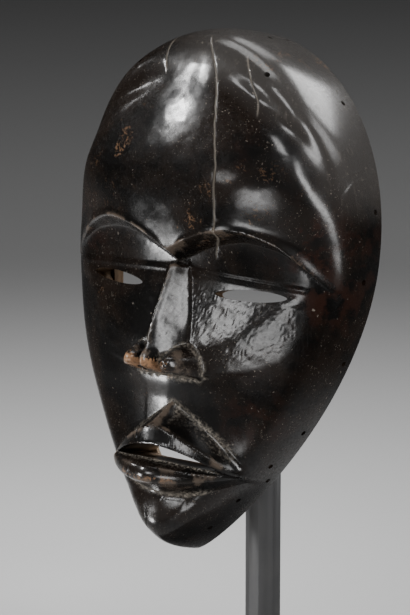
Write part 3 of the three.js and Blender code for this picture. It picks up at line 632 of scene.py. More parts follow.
def paint_mask(mask):
    """Stores what each point of the carving is, for the finish: dust, wear, cracks, inside, a painted pool of
    light inside, and so on.
    """
    co = np.empty(len(mask.data.vertices) * 3, np.float32)
    mask.data.vertices.foreach_get("co", co)
    x, y, z = co.reshape(-1, 3).astype(float).T
    out, out_inside = how_far_out(x, z, 0), how_far_out(x, z, RIM_THICKNESS)
    height = carving_height(x, z)
    gap_front = np.abs(y + height)
    gap_inside = np.abs(y + hollow_depth(z, np.minimum(out_inside, 1)))
    inside = ((out_inside < 1) & (gap_inside < 1.3) & (gap_front > 1.5)) | ((y > -0.05) & (out < 0.995))
    cut_wall = (~inside) & (gap_front > 0.45) & (out < 0.96)
    front = 1.0 - (inside | cut_wall)
    fine, broad = creases(x, z, 1.3), creases(x, z, 3.5)
    side, lip = np.abs(x), lip_lines(x)
    flat_top = ease(0.97, 0.9, out)
    lip_edge = bump(z - lip["base"] - 1.6, 1.8) * ease(24, 12, side)
    cheek = ease(cheek_edge(side) - 1.5, cheek_edge(side) + 1, z) * ease(6, -1, z) * ease(66, 57, side)
    furrow_slope = furrow_line(side + 0.5) - furrow_line(side - 0.5)
    crown = ease(-6, 6, (z - furrow_line(side)) / np.hypot(1, furrow_slope))
    crown *= ease(30, 60, z) * ease(-30, 10, x)
    brow = bump(z - brow_arch(side) - 1.6, 4.5) * ease(74, 60, side)
    band = ease(0.9, 0.96, out) * ease(-20, -60, z)
    near_mouth = ease(MOUTH_HALF_WIDTH + 4, MOUTH_HALF_WIDTH - 2, np.abs(x - MOUTH_CENTRE))
    powder = 0.55 * bump(z - lip["outer"] - 1.2, 2.0) * near_mouth * ease(-8, 10, x)
    edges = (bump(z - lip["inner"] - 0.3, 0.7) * ease(0, 5, x) + bump(z - lip["outer"], 0.8)) * near_mouth
    edges += bump(x - MOUTH_CENTRE, 1.5) * ease(-54, -56, z) * ease(-69, -67, z)
    leather = cheek * mix(0.08, 1.0, ease(0, 10, x))
    dust = np.clip(0.5 * fine + 0.2 * broad + powder, 0, 1) * mix(0.3, 1.0, ease(0, -30, z))
    values = {
        "dust": dust * front * flat_top,
        "ridge": np.clip(-0.6 * fine - 0.25 * broad + edges, 0, 1) * front * flat_top,
        "worn": np.clip(spots(x, z, WORN_SPOTS) + 0.6 * lip_edge, 0, 1) * front,
        "red": np.clip(spots(x, z, RED_SPOTS), 0, 1) * front,
        "leather": leather * front,
        "crown": crown * front,
        "skin": ease(18, 40, z) * front,
        "shine": np.clip(spots(x, z, SHINY_SPOTS) + 0.8 * leather + 0.9 * crown + brow + band, 0, 1) * front,
        "dusty_crack": sum(crack_at(x, z, c, 1.2) for c in crack_lines if c["kind"] == "dusty") * front,
        "dark_crack": sum(crack_at(x, z, c, 1.5) for c in crack_lines if c["kind"] == "dark") * front,
        "bare": inside + 0.75 * cut_wall,
        # Painted pool of light on the inner wall beside the mouth
        "painted_backlight": spots(x, z, BACKLIT_INSIDE_SPOTS) * (inside | cut_wall),
    }
    for name, value in values.items():
        layer = mask.data.attributes.new(name, "FLOAT", "POINT")
        layer.data.foreach_set("value", np.ascontiguousarray(value, np.float32))


def stand_up(piece):
    """Leans a piece of the mask back, lifts it to its level, and turns millimetres to metres."""
    co = np.empty(len(piece.data.vertices) * 3, np.float32)
    piece.data.vertices.foreach_get("co", co)
    x, y, z = co.reshape(-1, 3).astype(float).T
    back = MASK_FORWARD + y * math.cos(LEAN) + z * math.sin(LEAN)
    up = MASK_LEVEL - y * math.sin(LEAN) + z * math.cos(LEAN)
    piece.data.vertices.foreach_set("co", (np.stack([x, back, up], 1) * MM).astype(np.float32).ravel())
    piece.data.update()


def smooth(piece, sharp_above=42):
    """Smooth shading, with edges that turn by more than an angle in degrees kept sharp."""
    piece.data.shade_smooth()
    piece.data.set_sharp_from_angle(angle=math.radians(sharp_above))


# Stand pieces: their places and main sizes come from the imported solids' own boxes

def lathe(profile, centre, axis="z", sides=72):
    """A profile of (radius, height) pairs carried round an axis; radius 0 closes it."""
    radius, height = np.array(profile, float).T
    t = np.linspace(0, 2 * math.pi, sides, endpoint=False)
    a, b = np.outer(radius, np.cos(t)), np.outer(radius, np.sin(t))
    h = np.outer(height, np.ones(sides))
    along = {"z": (a, b, h), "-y": (a, -h, b), "x": (h, a, b)}[axis]
    points = np.stack([g.ravel() for g in along], 1) + np.array(centre)
    k = np.arange(len(profile) * sides).reshape(len(profile), sides)
    k2 = np.roll(k, -1, 1)
    quads = np.stack([k[:-1].ravel(), k2[:-1].ravel(), k2[1:].ravel(), k[1:].ravel()], 1)
    return points, quads


def swept(path, radius, sides=24):
    """A round section carried along a path of points, square to its direction at each."""
    path = np.array(path, float)
    along = np.gradient(path, axis=0)
    along /= np.linalg.norm(along, axis=1, keepdims=True)
    one = np.zeros_like(path)
    one[0] = np.cross(along[0], [0.3, 0.2, 1.0])
    for i in range(1, len(path)):
        one[i] = one[i - 1] - along[i] * (one[i - 1] @ along[i])
    one /= np.linalg.norm(one, axis=1, keepdims=True)
    two = np.cross(along, one)
    t = np.linspace(0, 2 * math.pi, sides, endpoint=False)
    ring = np.cos(t)[None, :, None] * one[:, None] + np.sin(t)[None, :, None] * two[:, None]
    body = path[:, None] + radius * ring
    caps = np.stack([np.repeat(path[:1], sides, 0), np.repeat(path[-1:], sides, 0)])
    points = np.concatenate([caps[:1], body, caps[1:]]).reshape(-1, 3)
    k = np.arange((len(path) + 2) * sides).reshape(-1, sides)
    k2 = np.roll(k, -1, 1)
    quads = np.stack([k[:-1].ravel(), k2[:-1].ravel(), k2[1:].ravel(), k[1:].ravel()], 1)
    return points, quads


def bent(corners, bend, steps=12):
    """The points of a route with each corner rounded by a quarter turn's worth of a parabola."""
    corners = [np.array(c, float) for c in corners]
    route = [corners[0]]
    for before, here, after in zip(corners, corners[1:], corners[2:]):
        start = here + (before - here) / np.linalg.norm(before - here) * bend
        end = here + (after - here) / np.linalg.norm(after - here) * bend
        for t in np.linspace(0, 1, steps):
            route.append((1 - t) ** 2 * start + 2 * t * (1 - t) * here + t * t * end)
    route.append(corners[-1])
    return route


def turned(name, body, material, sharp=35):
    """A lathed or swept piece as a finished object: doubles merged, faces outward."""
    points, faces = body
    piece = thing(name, mesh_from(name, points, faces), material)
    bpy.context.view_layer.objects.active = piece
    weld = piece.modifiers.new("weld", "WELD")
    weld.merge_threshold = 0.00001
    apply_steps(piece)
    face_outward(piece)
    smooth(piece, sharp)
    return piece


def face_outward(piece):
    """Turns every face over where the piece's signed volume is negative."""
    mesh = piece.data
    mesh.calc_loop_triangles()
    co = np.empty(len(mesh.vertices) * 3, np.float32)
    mesh.vertices.foreach_get("co", co)
    tri = np.empty(len(mesh.loop_triangles) * 3, np.int32)
    mesh.loop_triangles.foreach_get("vertices", tri)
    corner = co.reshape(-1, 3)[tri.reshape(-1, 3)].astype(float)
    if np.einsum("ij,ij->i", corner[:, 0], np.cross(corner[:, 1], corner[:, 2])).sum() < 0:
        mesh.flip_normals()


FORK_RADIUS = 0.0025
FORK_BEND = 0.009
SLEEVE_WALL = 0.0016
GAP = 0.0003


def middle(node):
    """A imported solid's box: its low corner, high corner and middle, as arrays in metres."""
    low, high = (np.array(corner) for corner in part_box(node))
    return low, high, (low + high) / 2


def make_post(material):
    """Turned steel column with a rounded top edge, cut away where the fork and the arm go through it."""
    low, high, centre = middle("post")
    r, top = (high[0] - low[0]) / 2, high[2] - low[2]
    turn = 0.0009
    edge = [(r - turn * (1 - math.cos(t)), top - turn + turn * math.sin(t)) for t in np.linspace(0, 1.5, 6)]
    profile = [(0, 0), (r - 0.0006, 0), (r, 0.0006)] + edge + [(0, top)]
    piece = turned("turned_post", lathe(profile, (centre[0], centre[1], low[2]), sides=96), material)
    bar = middle("fork")[0][2] + FORK_RADIUS
    arm_low, arm_high, arm = middle("lower_arm")
    left, right = centre[0] - 2 * r, centre[0] + 2 * r
    cross = rod((left, centre[1], bar), (right, centre[1], bar), FORK_RADIUS + GAP, 32)
    cut(piece, cross)
    cut(piece, rod((0, low[1] - 0.002, arm[2]), (0, arm_high[1] + GAP, arm[2]), FORK_RADIUS + GAP, 32))
    return piece


def make_base(material):
    """Plate of rounded-square plan whose edge runs down a quarter round, with the post's socket."""
    low, high, centre = middle("base_plate")
    half, corner, edge = (high - low) / 2, 0.006, 0.0012
    t = np.linspace(0, 2 * math.pi, 4 * 16, endpoint=False)
    turn = np.floor(t / (math.pi / 2)) * math.pi / 2 + math.pi / 4
    sign_x, sign_y = np.sign(np.cos(turn)), np.sign(np.sin(turn))

    def ring(inset, z):
        x = sign_x * (half[0] - corner) + (corner - inset) * np.cos(t)
        y = sign_y * (half[1] - corner) + (corner - inset) * np.sin(t)
        return np.stack([x + centre[0], y + centre[1], t * 0 + z], 1)

    turns = np.linspace(0, math.pi / 2, 7)
    rings = [ring(edge * (1 - math.sin(a)), low[2] + edge * (1 - math.cos(a))) for a in turns]
    rings += [ring(edge * (1 - math.cos(a)), high[2] - edge * (1 - math.sin(a))) for a in turns]
    middle_low, middle_high = ring(0, low[2]) * 0, ring(0, high[2]) * 0
    middle_low += [centre[0], centre[1], low[2]]
    middle_high += [centre[0], centre[1], high[2]]
    points = np.concatenate([middle_low, *rings, middle_high])
    k = np.arange(len(points)).reshape(-1, len(t))
    k2 = np.roll(k, -1, 1)
    quads = np.stack([k[:-1].ravel(), k2[:-1].ravel(), k2[1:].ravel(), k[1:].ravel()], 1)
    piece = turned("base_plate_finished", (points, quads), material, 30)
    post_low, post_high, post = middle("post")
    r = (post_high[0] - post_low[0]) / 2 + GAP
    cut(piece, rod((post[0], post[1], post_low[2] - GAP), (post[0], post[1], high[2] + 0.002), r, 96))
    return piece


def make_fork(material):
    """Bent round rod: across behind the mask, up on both sides, and forward under the crown."""
    low, high, centre = middle("fork")
    post = middle("post")[2]
    side, bar, tip = high[0] - FORK_RADIUS, low[2] + FORK_RADIUS, high[2] - FORK_RADIUS
    corners = [
        (-side, low[1], tip), (-side, post[1], tip), (-side, post[1], bar),
        (side, post[1], bar), (side, post[1], tip), (side, low[1], tip),
    ]
    return turned("bent_fork", swept(bent(corners, FORK_BEND), FORK_RADIUS, 28), material, 50)


def make_arm(material):
    """Straight rod with slightly bevelled ends."""
    low, high, centre = middle("lower_arm")
    r, length = FORK_RADIUS, high[1] - low[1]
    profile = [(0, 0), (r - 0.0003, 0), (r, 0.0003), (r, length - 0.0003), (r - 0.0003, length), (0, length)]
    return turned("straight_arm", lathe(profile, (0, high[1], centre[2]), "-y", 40), material)


def make_cap(node, name, material, round_nose):
    """Rubber cap over a rod's end: a rounded nose, a soft bead at the mouth, and a bore behind."""
    low, high, centre = middle(node)
    r, length = (high[0] - low[0]) / 2, high[1] - low[1]
    nose = r if round_nose else SLEEVE_WALL
    wall = length - nose
    bore = FORK_RADIUS + GAP
    turns = np.linspace(0, math.pi / 2, 12)
    front = [(r * math.cos(a), wall + nose * math.sin(a)) for a in turns]
    bead = [(r - 0.0002, 0.0004), (r, 0.0012), (r - 0.00015, 0.002), (r, 0.0028)]
    profile = [(0, wall - 0.0001), (bore, wall - 0.0001), (bore, 0)] + bead + front[:-1] + [(0, wall + nose)]
    return turned(name, lathe(profile, (centre[0], high[1], centre[2]), "-y", 56), material, 50)


# Finishes

def node(tree, kind, at=(0, 0), **settings):
    """A shader node with its settings, and its plain input values given by socket name."""
    made = tree.nodes.new(kind)
    made.location = at
    inputs = settings.pop("inputs", {})
    for key, value in settings.items():
        setattr(made, key, value)
    for key, value in inputs.items():
        made.inputs[key].default_value = value
    return made


def link(tree, source, target):
    tree.links.new(source, target)


def shader_group(name, inputs, outputs):
    """An empty node group with named float inputs and outputs, and its two end nodes."""
    tree = bpy.data.node_groups.new(name, "ShaderNodeTree")
    for label, value in inputs.items():
        socket = tree.interface.new_socket(label, in_out="INPUT", socket_type="NodeSocketFloat")
        socket.default_value = value
    for label in outputs:
        tree.interface.new_socket(label, in_out="OUTPUT", socket_type="NodeSocketFloat")
    start = node(tree, "NodeGroupInput", (-900, 0))
    end = node(tree, "NodeGroupOutput", (600, 0))
    return tree, start, end


def maths(tree, operation, a, b=None, at=(0, 0), clamp=False):
    """A Math node whose two inputs are sockets or numbers."""
    made = node(tree, "ShaderNodeMath", at, operation=operation, use_clamp=clamp)
    for slot_index, value in enumerate((a, b)):
        if value is None:
            continue
        if isinstance(value, (int, float)):
            made.inputs[slot_index].default_value = value
        else:
            link(tree, value, made.inputs[slot_index])
    return made.outputs[0]


def between(tree, value, low, high, at=(0, 0)):
    """0 below low, 1 above high, smooth between."""
    made = node(tree, "ShaderNodeMapRange", at, interpolation_type="SMOOTHSTEP")
    made.inputs["From Min"].default_value = low
    made.inputs["From Max"].default_value = high
    link(tree, value, made.inputs["Value"])
    return made.outputs["Result"]


def object_space(tree, stretch=(1, 1, 1), at=(-700, 0)):
    """Object coordinates, stretched along each axis."""
    where = node(tree, "ShaderNodeTexCoord", at)
    mapping = node(tree, "ShaderNodeMapping", (at[0] + 180, at[1]), inputs={"Scale": stretch})
    link(tree, where.outputs["Object"], mapping.inputs["Vector"])
    return mapping.outputs["Vector"]


def build_mottle_group():
    """Uneven patches: noise at one scale roughened by a finer one, from 0 to 1."""
    values = {"Scale": 60.0, "Detail": 5.0, "Low": 0.4, "High": 0.6}
    tree, start, end = shader_group("mottle", values, ["Patches"])
    place = object_space(tree)
    noise = node(tree, "ShaderNodeTexNoise", (-200, 0), inputs={"Roughness": 0.62})
    link(tree, place, noise.inputs["Vector"])
    link(tree, start.outputs["Scale"], noise.inputs["Scale"])
    link(tree, start.outputs["Detail"], noise.inputs["Detail"])
    ramp = node(tree, "ShaderNodeMapRange", (200, 0), interpolation_type="SMOOTHSTEP")
    link(tree, noise.outputs["Fac"], ramp.inputs["Value"])
    link(tree, start.outputs["Low"], ramp.inputs["From Min"])
    link(tree, start.outputs["High"], ramp.inputs["From Max"])
    link(tree, ramp.outputs["Result"], end.inputs["Patches"])
    return tree


def shaken(tree, place, noise, reach):
    """A place moved a little each way by a noise colour, which breaks up round cells."""
    centred = node(tree, "ShaderNodeVectorMath", (-400, -200), operation="SUBTRACT")
    link(tree, noise, centred.inputs[0])
    centred.inputs[1].default_value = (0.5, 0.5, 0.5)
    moved = node(tree, "ShaderNodeVectorMath", (-300, -100), operation="MULTIPLY_ADD")
    link(tree, centred.outputs["Vector"], moved.inputs[0])
    moved.inputs[1].default_value = (reach, reach, reach)
    link(tree, place, moved.inputs[2])
    return moved.outputs["Vector"]


def build_crackle_group():
    """Leathery skin: flat islands with fine ragged valleys between them, from 0 in a valley to 1."""
    tree, start, end = shader_group("crackle", {"Scale": 420.0, "Valley": 0.16}, ["Height"])
    place = object_space(tree)
    shake = node(tree, "ShaderNodeTexNoise", (-600, -260), inputs={"Scale": 300.0, "Detail": 3.0})
    link(tree, place, shake.inputs["Vector"])
    cells = node(tree, "ShaderNodeTexVoronoi", (-200, 0), feature="DISTANCE_TO_EDGE")
    link(tree, shaken(tree, place, shake.outputs["Color"], 0.006), cells.inputs["Vector"])
    link(tree, start.outputs["Scale"], cells.inputs["Scale"])
    ramp = node(tree, "ShaderNodeMapRange", (200, 0), interpolation_type="SMOOTHSTEP")
    link(tree, cells.outputs["Distance"], ramp.inputs["Value"])
    link(tree, start.outputs["Valley"], ramp.inputs["From Max"])
    link(tree, ramp.outputs["Result"], end.inputs["Height"])
    return tree


def build_speck_group():
    """Small pale nicks: points closer than a random size to the nearest seed, in only some cells."""
    tree, start, end = shader_group("specks", {"Scale": 500.0, "Size": 0.25, "Share": 0.2}, ["Specks"])
    place = object_space(tree)
    shake = node(tree, "ShaderNodeTexNoise", (-600, -260), inputs={"Scale": 520.0, "Detail": 2.0})
    link(tree, place, shake.inputs["Vector"])
    cells = node(tree, "ShaderNodeTexVoronoi", (-200, 0), feature="F1")
    link(tree, shaken(tree, place, shake.outputs["Color"], 0.0024), cells.inputs["Vector"])
    link(tree, start.outputs["Scale"], cells.inputs["Scale"])
    parts = node(tree, "ShaderNodeSeparateColor", (0, -160))
    link(tree, cells.outputs["Color"], parts.inputs["Color"])
    size = maths(tree, "MULTIPLY", start.outputs["Size"], parts.outputs["Green"], (160, -160))
    shaking = maths(tree, "MULTIPLY", shake.outputs["Fac"], 2.2, (0, -300))
    ragged = maths(tree, "MULTIPLY", size, shaking, (300, -200))
    near = maths(tree, "LESS_THAN", cells.outputs["Distance"], ragged, (420, 0))
    chosen = maths(tree, "LESS_THAN", parts.outputs["Red"], start.outputs["Share"], (300, 140))
    link(tree, maths(tree, "MULTIPLY", near, chosen, (520, 60)), end.inputs["Specks"])
    return tree


def build_fibre_group():
    """Fine lines along one axis: noise squeezed across the grain, kept only where it peaks."""
    values = {"Scale": 900.0, "Squeeze": 0.06, "Low": 0.58, "High": 0.7}
    tree, start, end = shader_group("fibres", values, ["Lines", "Height"])
    where = node(tree, "ShaderNodeTexCoord", (-900, 200))
    parts = node(tree, "ShaderNodeSeparateXYZ", (-740, 200))
    link(tree, where.outputs["Object"], parts.inputs["Vector"])
    along = maths(tree, "MULTIPLY", parts.outputs["Z"], start.outputs["Squeeze"], (-560, 120))
    place = node(tree, "ShaderNodeCombineXYZ", (-400, 200))
    link(tree, parts.outputs["X"], place.inputs["X"])
    link(tree, parts.outputs["Y"], place.inputs["Y"])
    link(tree, along, place.inputs["Z"])
    noise = node(tree, "ShaderNodeTexNoise", (-200, 0), inputs={"Detail": 3.0, "Roughness": 0.55})
    link(tree, place.outputs["Vector"], noise.inputs["Vector"])
    link(tree, start.outputs["Scale"], noise.inputs["Scale"])
    ramp = node(tree, "ShaderNodeMapRange", (200, 0), interpolation_type="SMOOTHSTEP")
    link(tree, noise.outputs["Fac"], ramp.inputs["Value"])
    link(tree, start.outputs["Low"], ramp.inputs["From Min"])
    link(tree, start.outputs["High"], ramp.inputs["From Max"])
    link(tree, ramp.outputs["Result"], end.inputs["Lines"])
    link(tree, noise.outputs["Fac"], end.inputs["Height"])
    return tree


def placed(tree, group, at, **values):
    """One use of a shared group, with its own values."""
    made = node(tree, "ShaderNodeGroup", at, node_tree=group)
    for label, value in values.items():
        made.inputs[label].default_value = value
    return made


def mixed(tree, mask, under, over, at):
    """One colour laid over another where a mask says; each colour is a socket or a plain value."""
    made = node(tree, "ShaderNodeMix", at, data_type="RGBA")
    link(tree, mask, made.inputs["Factor"])
    for label, colour in (("A", under), ("B", over)):
        socket = next(i for i in made.inputs if i.name == label and i.type == "RGBA")
        if isinstance(colour, tuple):
            socket.default_value = (*colour, 1)
        else:
            link(tree, colour, socket)
    return next(o for o in made.outputs if o.type == "RGBA")


def new_material(name, roughness, metallic=0.0, **plain):
    """A material with a Principled shader and its plain values."""
    material = bpy.data.materials.new(name)
    material.use_nodes = True
    tree = material.node_tree
    shader = tree.nodes["Principled BSDF"]
    shader.location = (1300, 0)
    tree.nodes["Material Output"].location = (1600, 0)
    shader.inputs["Roughness"].default_value = roughness
    shader.inputs["Metallic"].default_value = metallic
    for label, value in plain.items():
        shader.inputs[label.replace("_", " ")].default_value = value
    return material, tree, shader


def bumped(tree, shader, height, strength, distance, at, before=None):
    """A Bump node from a height, on top of an earlier one if given."""
    made = node(tree, "ShaderNodeBump", at, inputs={"Strength": strength, "Distance": distance})
    link(tree, height, made.inputs["Height"])
    if before is not None:
        link(tree, before, made.inputs["Normal"])
    return made.outputs["Normal"]


BLACK_PATINA = (0.0026, 0.0023, 0.0021)
BROWN_PATINA = (0.0080, 0.0054, 0.0040)
# Crown colour: the pale grey of a dusty film plus a painted sheen, standing in for the back lights' broad
# gloss on the crown
CROWN_DUST_AND_SHEEN = (0.042, 0.038, 0.035)
RED_WOOD = (0.018, 0.0075, 0.005)
WORN_WOOD = (0.26, 0.145, 0.078)
RUBBED_EDGE = (0.17, 0.13, 0.10)
DUST = (0.34, 0.30, 0.25)
PALE_NICK = (0.19, 0.165, 0.14)
RAW_WOOD = (0.20, 0.135, 0.085)
RAW_DARK = (0.075, 0.050, 0.032)
# Pale wood of a painted pool of light on the inner wall
PAINTED_BACKLIGHT_WOOD = (0.52, 0.40, 0.29)
BLACK_CRACK = (0.002, 0.0017, 0.0014)
MARKS = [
    "dust", "ridge", "worn", "red", "leather", "crown",
    "shine", "skin", "dusty_crack", "dark_crack", "bare", "painted_backlight",
]


def wood_noises(tree, mottle, specks, fibres, crackle):
    """Every use of the shared groups that the wood's colour, gloss and relief draw on."""
    nicks = {"Scale": 760.0, "Size": 0.30, "Share": 0.12}
    fine_nicks = {"Scale": 1900.0, "Size": 0.36, "Share": 0.18}
    broad = placed(tree, mottle, (-1200, 900), Scale=32.0, Detail=6.0, Low=0.42, High=0.62)
    patches = placed(tree, mottle, (-1200, 700), Scale=95.0, Detail=7.0, Low=0.47, High=0.60)
    crumbs = placed(tree, mottle, (-1200, 500), Scale=700.0, Detail=6.0, Low=0.42, High=0.62)
    grain = placed(tree, fibres, (-1200, -100), Scale=1100.0, Squeeze=0.055, Low=0.60, High=0.72)
    streaks = placed(tree, fibres, (-1200, -300), Scale=420.0, Squeeze=0.09, Low=0.57, High=0.70)
    cover = placed(tree, mottle, (-1200, -700), Scale=800.0, Detail=5.0, Low=0.3, High=0.75)
    return {
        "broad": broad.outputs["Patches"],
        "patches": patches.outputs["Patches"],
        "crumbs": crumbs.outputs["Patches"],
        "nicks": placed(tree, specks, (-1200, 300), **nicks).outputs["Specks"],
        "fine_nicks": placed(tree, specks, (-1200, 100), **fine_nicks).outputs["Specks"],
        "grain": grain.outputs["Height"],
        "streaks": streaks.outputs["Lines"],
        "cover": cover.outputs["Patches"],
        "skin": placed(tree, crackle, (-1200, -900), Scale=820.0, Valley=0.25).outputs["Height"],
        "fine_skin": placed(tree, crackle, (-1200, -1100), Scale=1250.0, Valley=0.30).outputs["Height"],
    }


def wood_layers(tree, marks, noise):
    """Where each layer shows, from 0 to 1: worn wood, rubbed edges, nicks and settled dust."""
    times = lambda a, b, at: maths(tree, "MULTIPLY", a, b, at)
    worn_here = maths(tree, "ADD", marks["worn"], times(noise["crumbs"], 0.42, (-1000, 640)), (-880, 640))
    speckled = between(tree, times(worn_here, noise["patches"], (-800, 600)), 0.42, 0.85, (-700, 600))
    solid = between(tree, worn_here, 0.80, 1.2, (-700, 460))
    some_nicks = times(noise["nicks"], noise["patches"], (-900, 300))
    more_nicks = times(noise["fine_nicks"], noise["broad"], (-900, 150))
    nicks = maths(tree, "MAXIMUM", some_nicks, more_nicks, (-760, 260))
    crown_lines = times(marks["crown"], noise["streaks"], (-900, 0))
    ragged = maths(tree, "ADD", times(noise["crumbs"], 0.6, (-1000, -420)), 0.4, (-900, -420))
    settled = between(tree, times(marks["dust"], ragged, (-780, -420)), 0.10, 1.15, (-640, -420))
    in_cracks = times(marks["dusty_crack"], 0.42, (-780, -560))
    here_and_there = maths(tree, "ADD", times(noise["patches"], 0.7, (-1000, -900)), 0.3, (-880, -900))
    rubbed = times(marks["ridge"], here_and_there, (-760, -900))
    return {
        "worn": maths(tree, "MAXIMUM", times(speckled, 0.36, (-560, 600)), solid, (-440, 600)),
        "nicks": nicks,
        "pale": maths(
            tree, "MAXIMUM", times(nicks, 0.6, (-600, 260)), times(crown_lines, 0.13, (-700, 60)), (-480, 200)
        ),
        "settled": maths(tree, "MAXIMUM", times(settled, 0.6, (-500, -420)), in_cracks, (-400, -460)),
        "rubbed": between(tree, rubbed, 0.15, 0.9, (-600, -900)),
    }


def patinated_wood(mottle, specks, fibres, crackle):
    """Black rubbed wood, brown where worn, dusty in its creases, raw inside, with a painted sheen on the
    crown and a painted pool of light on the inner wall.
    """
    material, tree, shader = new_material("patinated_wood", 0.3, Coat_Roughness=0.19, Specular_IOR_Level=0.03)
    marks = {}
    for row, label in enumerate(MARKS):
        mark = node(tree, "ShaderNodeAttribute", (-1500, 900 - 180 * row), attribute_name=label)
        marks[label] = mark.outputs["Fac"]
    noise = wood_noises(tree, mottle, specks, fibres, crackle)
    layer = wood_layers(tree, marks, noise)
    times = lambda a, b, at: maths(tree, "MULTIPLY", a, b, at)

    colour = mixed(tree, noise["broad"], BLACK_PATINA, BROWN_PATINA, (-800, 900))
    colour = mixed(tree, times(marks["red"], noise["patches"], (-1000, 780)), colour, RED_WOOD, (-640, 860))
    colour = mixed(tree, times(layer["rubbed"], 0.38, (-560, 760)), colour, RUBBED_EDGE, (-460, 850))
    # Crown colour: a dusty film with a painted sheen
    colour = mixed(tree, times(marks["crown"], 0.75, (-460, 700)), colour, CROWN_DUST_AND_SHEEN, (-380, 840))
    colour = mixed(tree, layer["worn"], colour, WORN_WOOD, (-300, 840))
    colour = mixed(tree, layer["pale"], colour, PALE_NICK, (-140, 820))
    colour = mixed(tree, layer["settled"], colour, DUST, (20, 800))
    cracked = maths(tree, "MINIMUM", marks["dark_crack"], 1.0, (-400, -560))
    colour = mixed(tree, cracked, colour, BLACK_CRACK, (180, 780))
    raw = mixed(tree, times(noise["broad"], 0.7, (0, 560)), RAW_DARK, RAW_WOOD, (180, 560))
    raw = mixed(tree, times(noise["streaks"], 0.5, (0, 480)), raw, RAW_DARK, (340, 560))
    # Painted pool of light inside: paler wood where back light falls
    raw = mixed(tree, marks["painted_backlight"], raw, PAINTED_BACKLIGHT_WOOD, (440, 520))
    link(tree, mixed(tree, marks["bare"], colour, raw, (520, 760)), shader.inputs["Base Color"])

    rough = maths(tree, "ADD", 0.20, times(noise["broad"], 0.07, (0, 200)), (140, 200))
    rough = maths(tree, "ADD", rough, times(noise["crumbs"], 0.08, (140, 100)), (280, 200))
    rough = maths(tree, "ADD", rough, times(marks["crown"], 0.14, (280, 100)), (420, 200))
    rough = maths(tree, "ADD", rough, times(marks["leather"], 0.10, (420, 100)), (560, 200))
    matt = maths(tree, "MAXIMUM", layer["settled"], layer["pale"], (280, 0))
    matt = maths(tree, "MAXIMUM", matt, marks["bare"], (420, 0))
    rough = maths(tree, "ADD", rough, times(matt, 0.38, (560, 100)), (700, 200), True)
    link(tree, rough, shader.inputs["Roughness"])
    polished = maths(tree, "SUBTRACT", 1.0, matt, (560, -60), True)
    rubbed_up = maths(tree, "ADD", 0.06, times(marks["shine"], 0.85, (420, -160)), (560, -160))
    patchy = maths(tree, "SUBTRACT", 1.0, times(noise["crumbs"], 0.25, (420, -240)), (560, -240))
    gloss = times(polished, times(rubbed_up, patchy, (640, -160)), (700, -60))
    link(tree, gloss, shader.inputs["Coat Weight"])

    leathery = maths(tree, "ADD", marks["leather"], times(marks["skin"], 0.4, (-1100, -760)), (-1000, -700))
    wrinkled = times(maths(tree, "ADD", leathery, 0.05, (-900, -700)), noise["skin"], (-780, -700))
    hair = times(times(marks["crown"], 3.0, (-1000, -860)), noise["fine_skin"], (-900, -860))
    relief = maths(tree, "ADD", wrinkled, times(noise["cover"], 0.3, (-700, -620)), (-600, -660))
    relief = maths(tree, "ADD", relief, hair, (-500, -700))
    normal = bumped(tree, shader, relief, 0.35, 0.0004, (700, -300))
    normal = bumped(tree, shader, noise["grain"], 0.20, 0.0003, (860, -300), normal)
    dents = maths(tree, "ADD", layer["nicks"], noise["crumbs"], (700, -500))
    link(tree, bumped(tree, shader, dents, 0.12, 0.0002, (1020, -300), normal), shader.inputs["Normal"])
    return material


STEEL = (0.036, 0.036, 0.037)
RUBBED_STEEL = (0.052, 0.051, 0.050)
PLATE_PAINT = (0.022, 0.022, 0.023)
RUBBED_PAINT = (0.034, 0.033, 0.032)


def brushed_steel(name, colour, worn_colour, roughness, mottle, fibres, metallic):
    """Satin metal with faint lengthwise lines, cloudy patches and a slightly uneven gloss."""
    material, tree, shader = new_material(name, roughness, metallic)
    cloud = placed(tree, mottle, (-900, 300), Scale=45.0, Detail=5.0, Low=0.38, High=0.66).outputs["Patches"]
    lines = placed(tree, fibres, (-900, 0), Scale=1400.0, Squeeze=0.03, Low=0.5, High=0.8)
    base = mixed(tree, maths(tree, "MULTIPLY", cloud, 0.6, (-600, 300)), colour, worn_colour, (-300, 300))
    link(tree, base, shader.inputs["Base Color"])
    clouding = maths(tree, "MULTIPLY", cloud, 0.08, (-600, 100))
    rough = maths(tree, "ADD", roughness - 0.04, clouding, (-300, 100))
    brushing = maths(tree, "MULTIPLY", lines.outputs["Lines"], 0.08, (-300, 0))
    rough = maths(tree, "ADD", rough, brushing, (0, 100))
    link(tree, rough, shader.inputs["Roughness"])
    normal = bumped(tree, shader, lines.outputs["Height"], 0.12, 0.0001, (300, -200))
    link(tree, normal, shader.inputs["Normal"])
    return material


def moulded_rubber(mottle):
    """Matt black rubber with a faint bloom."""
    material, tree, shader = new_material("moulded_rubber", 0.8)
    bloom = placed(tree, mottle, (-900, 0), Scale=300.0, Detail=4.0, Low=0.4, High=0.7).outputs["Patches"]
    haze = maths(tree, "MULTIPLY", bloom, 0.5, (-600, 0))
    base = mixed(tree, haze, (0.012, 0.012, 0.012), (0.030, 0.029, 0.028), (-300, 0))
    link(tree, base, shader.inputs["Base Color"])
    link(tree, bumped(tree, shader, bloom, 0.15, 0.0002, (300, -200)), shader.inputs["Normal"])
    return material


# The room: floor, lights and camera

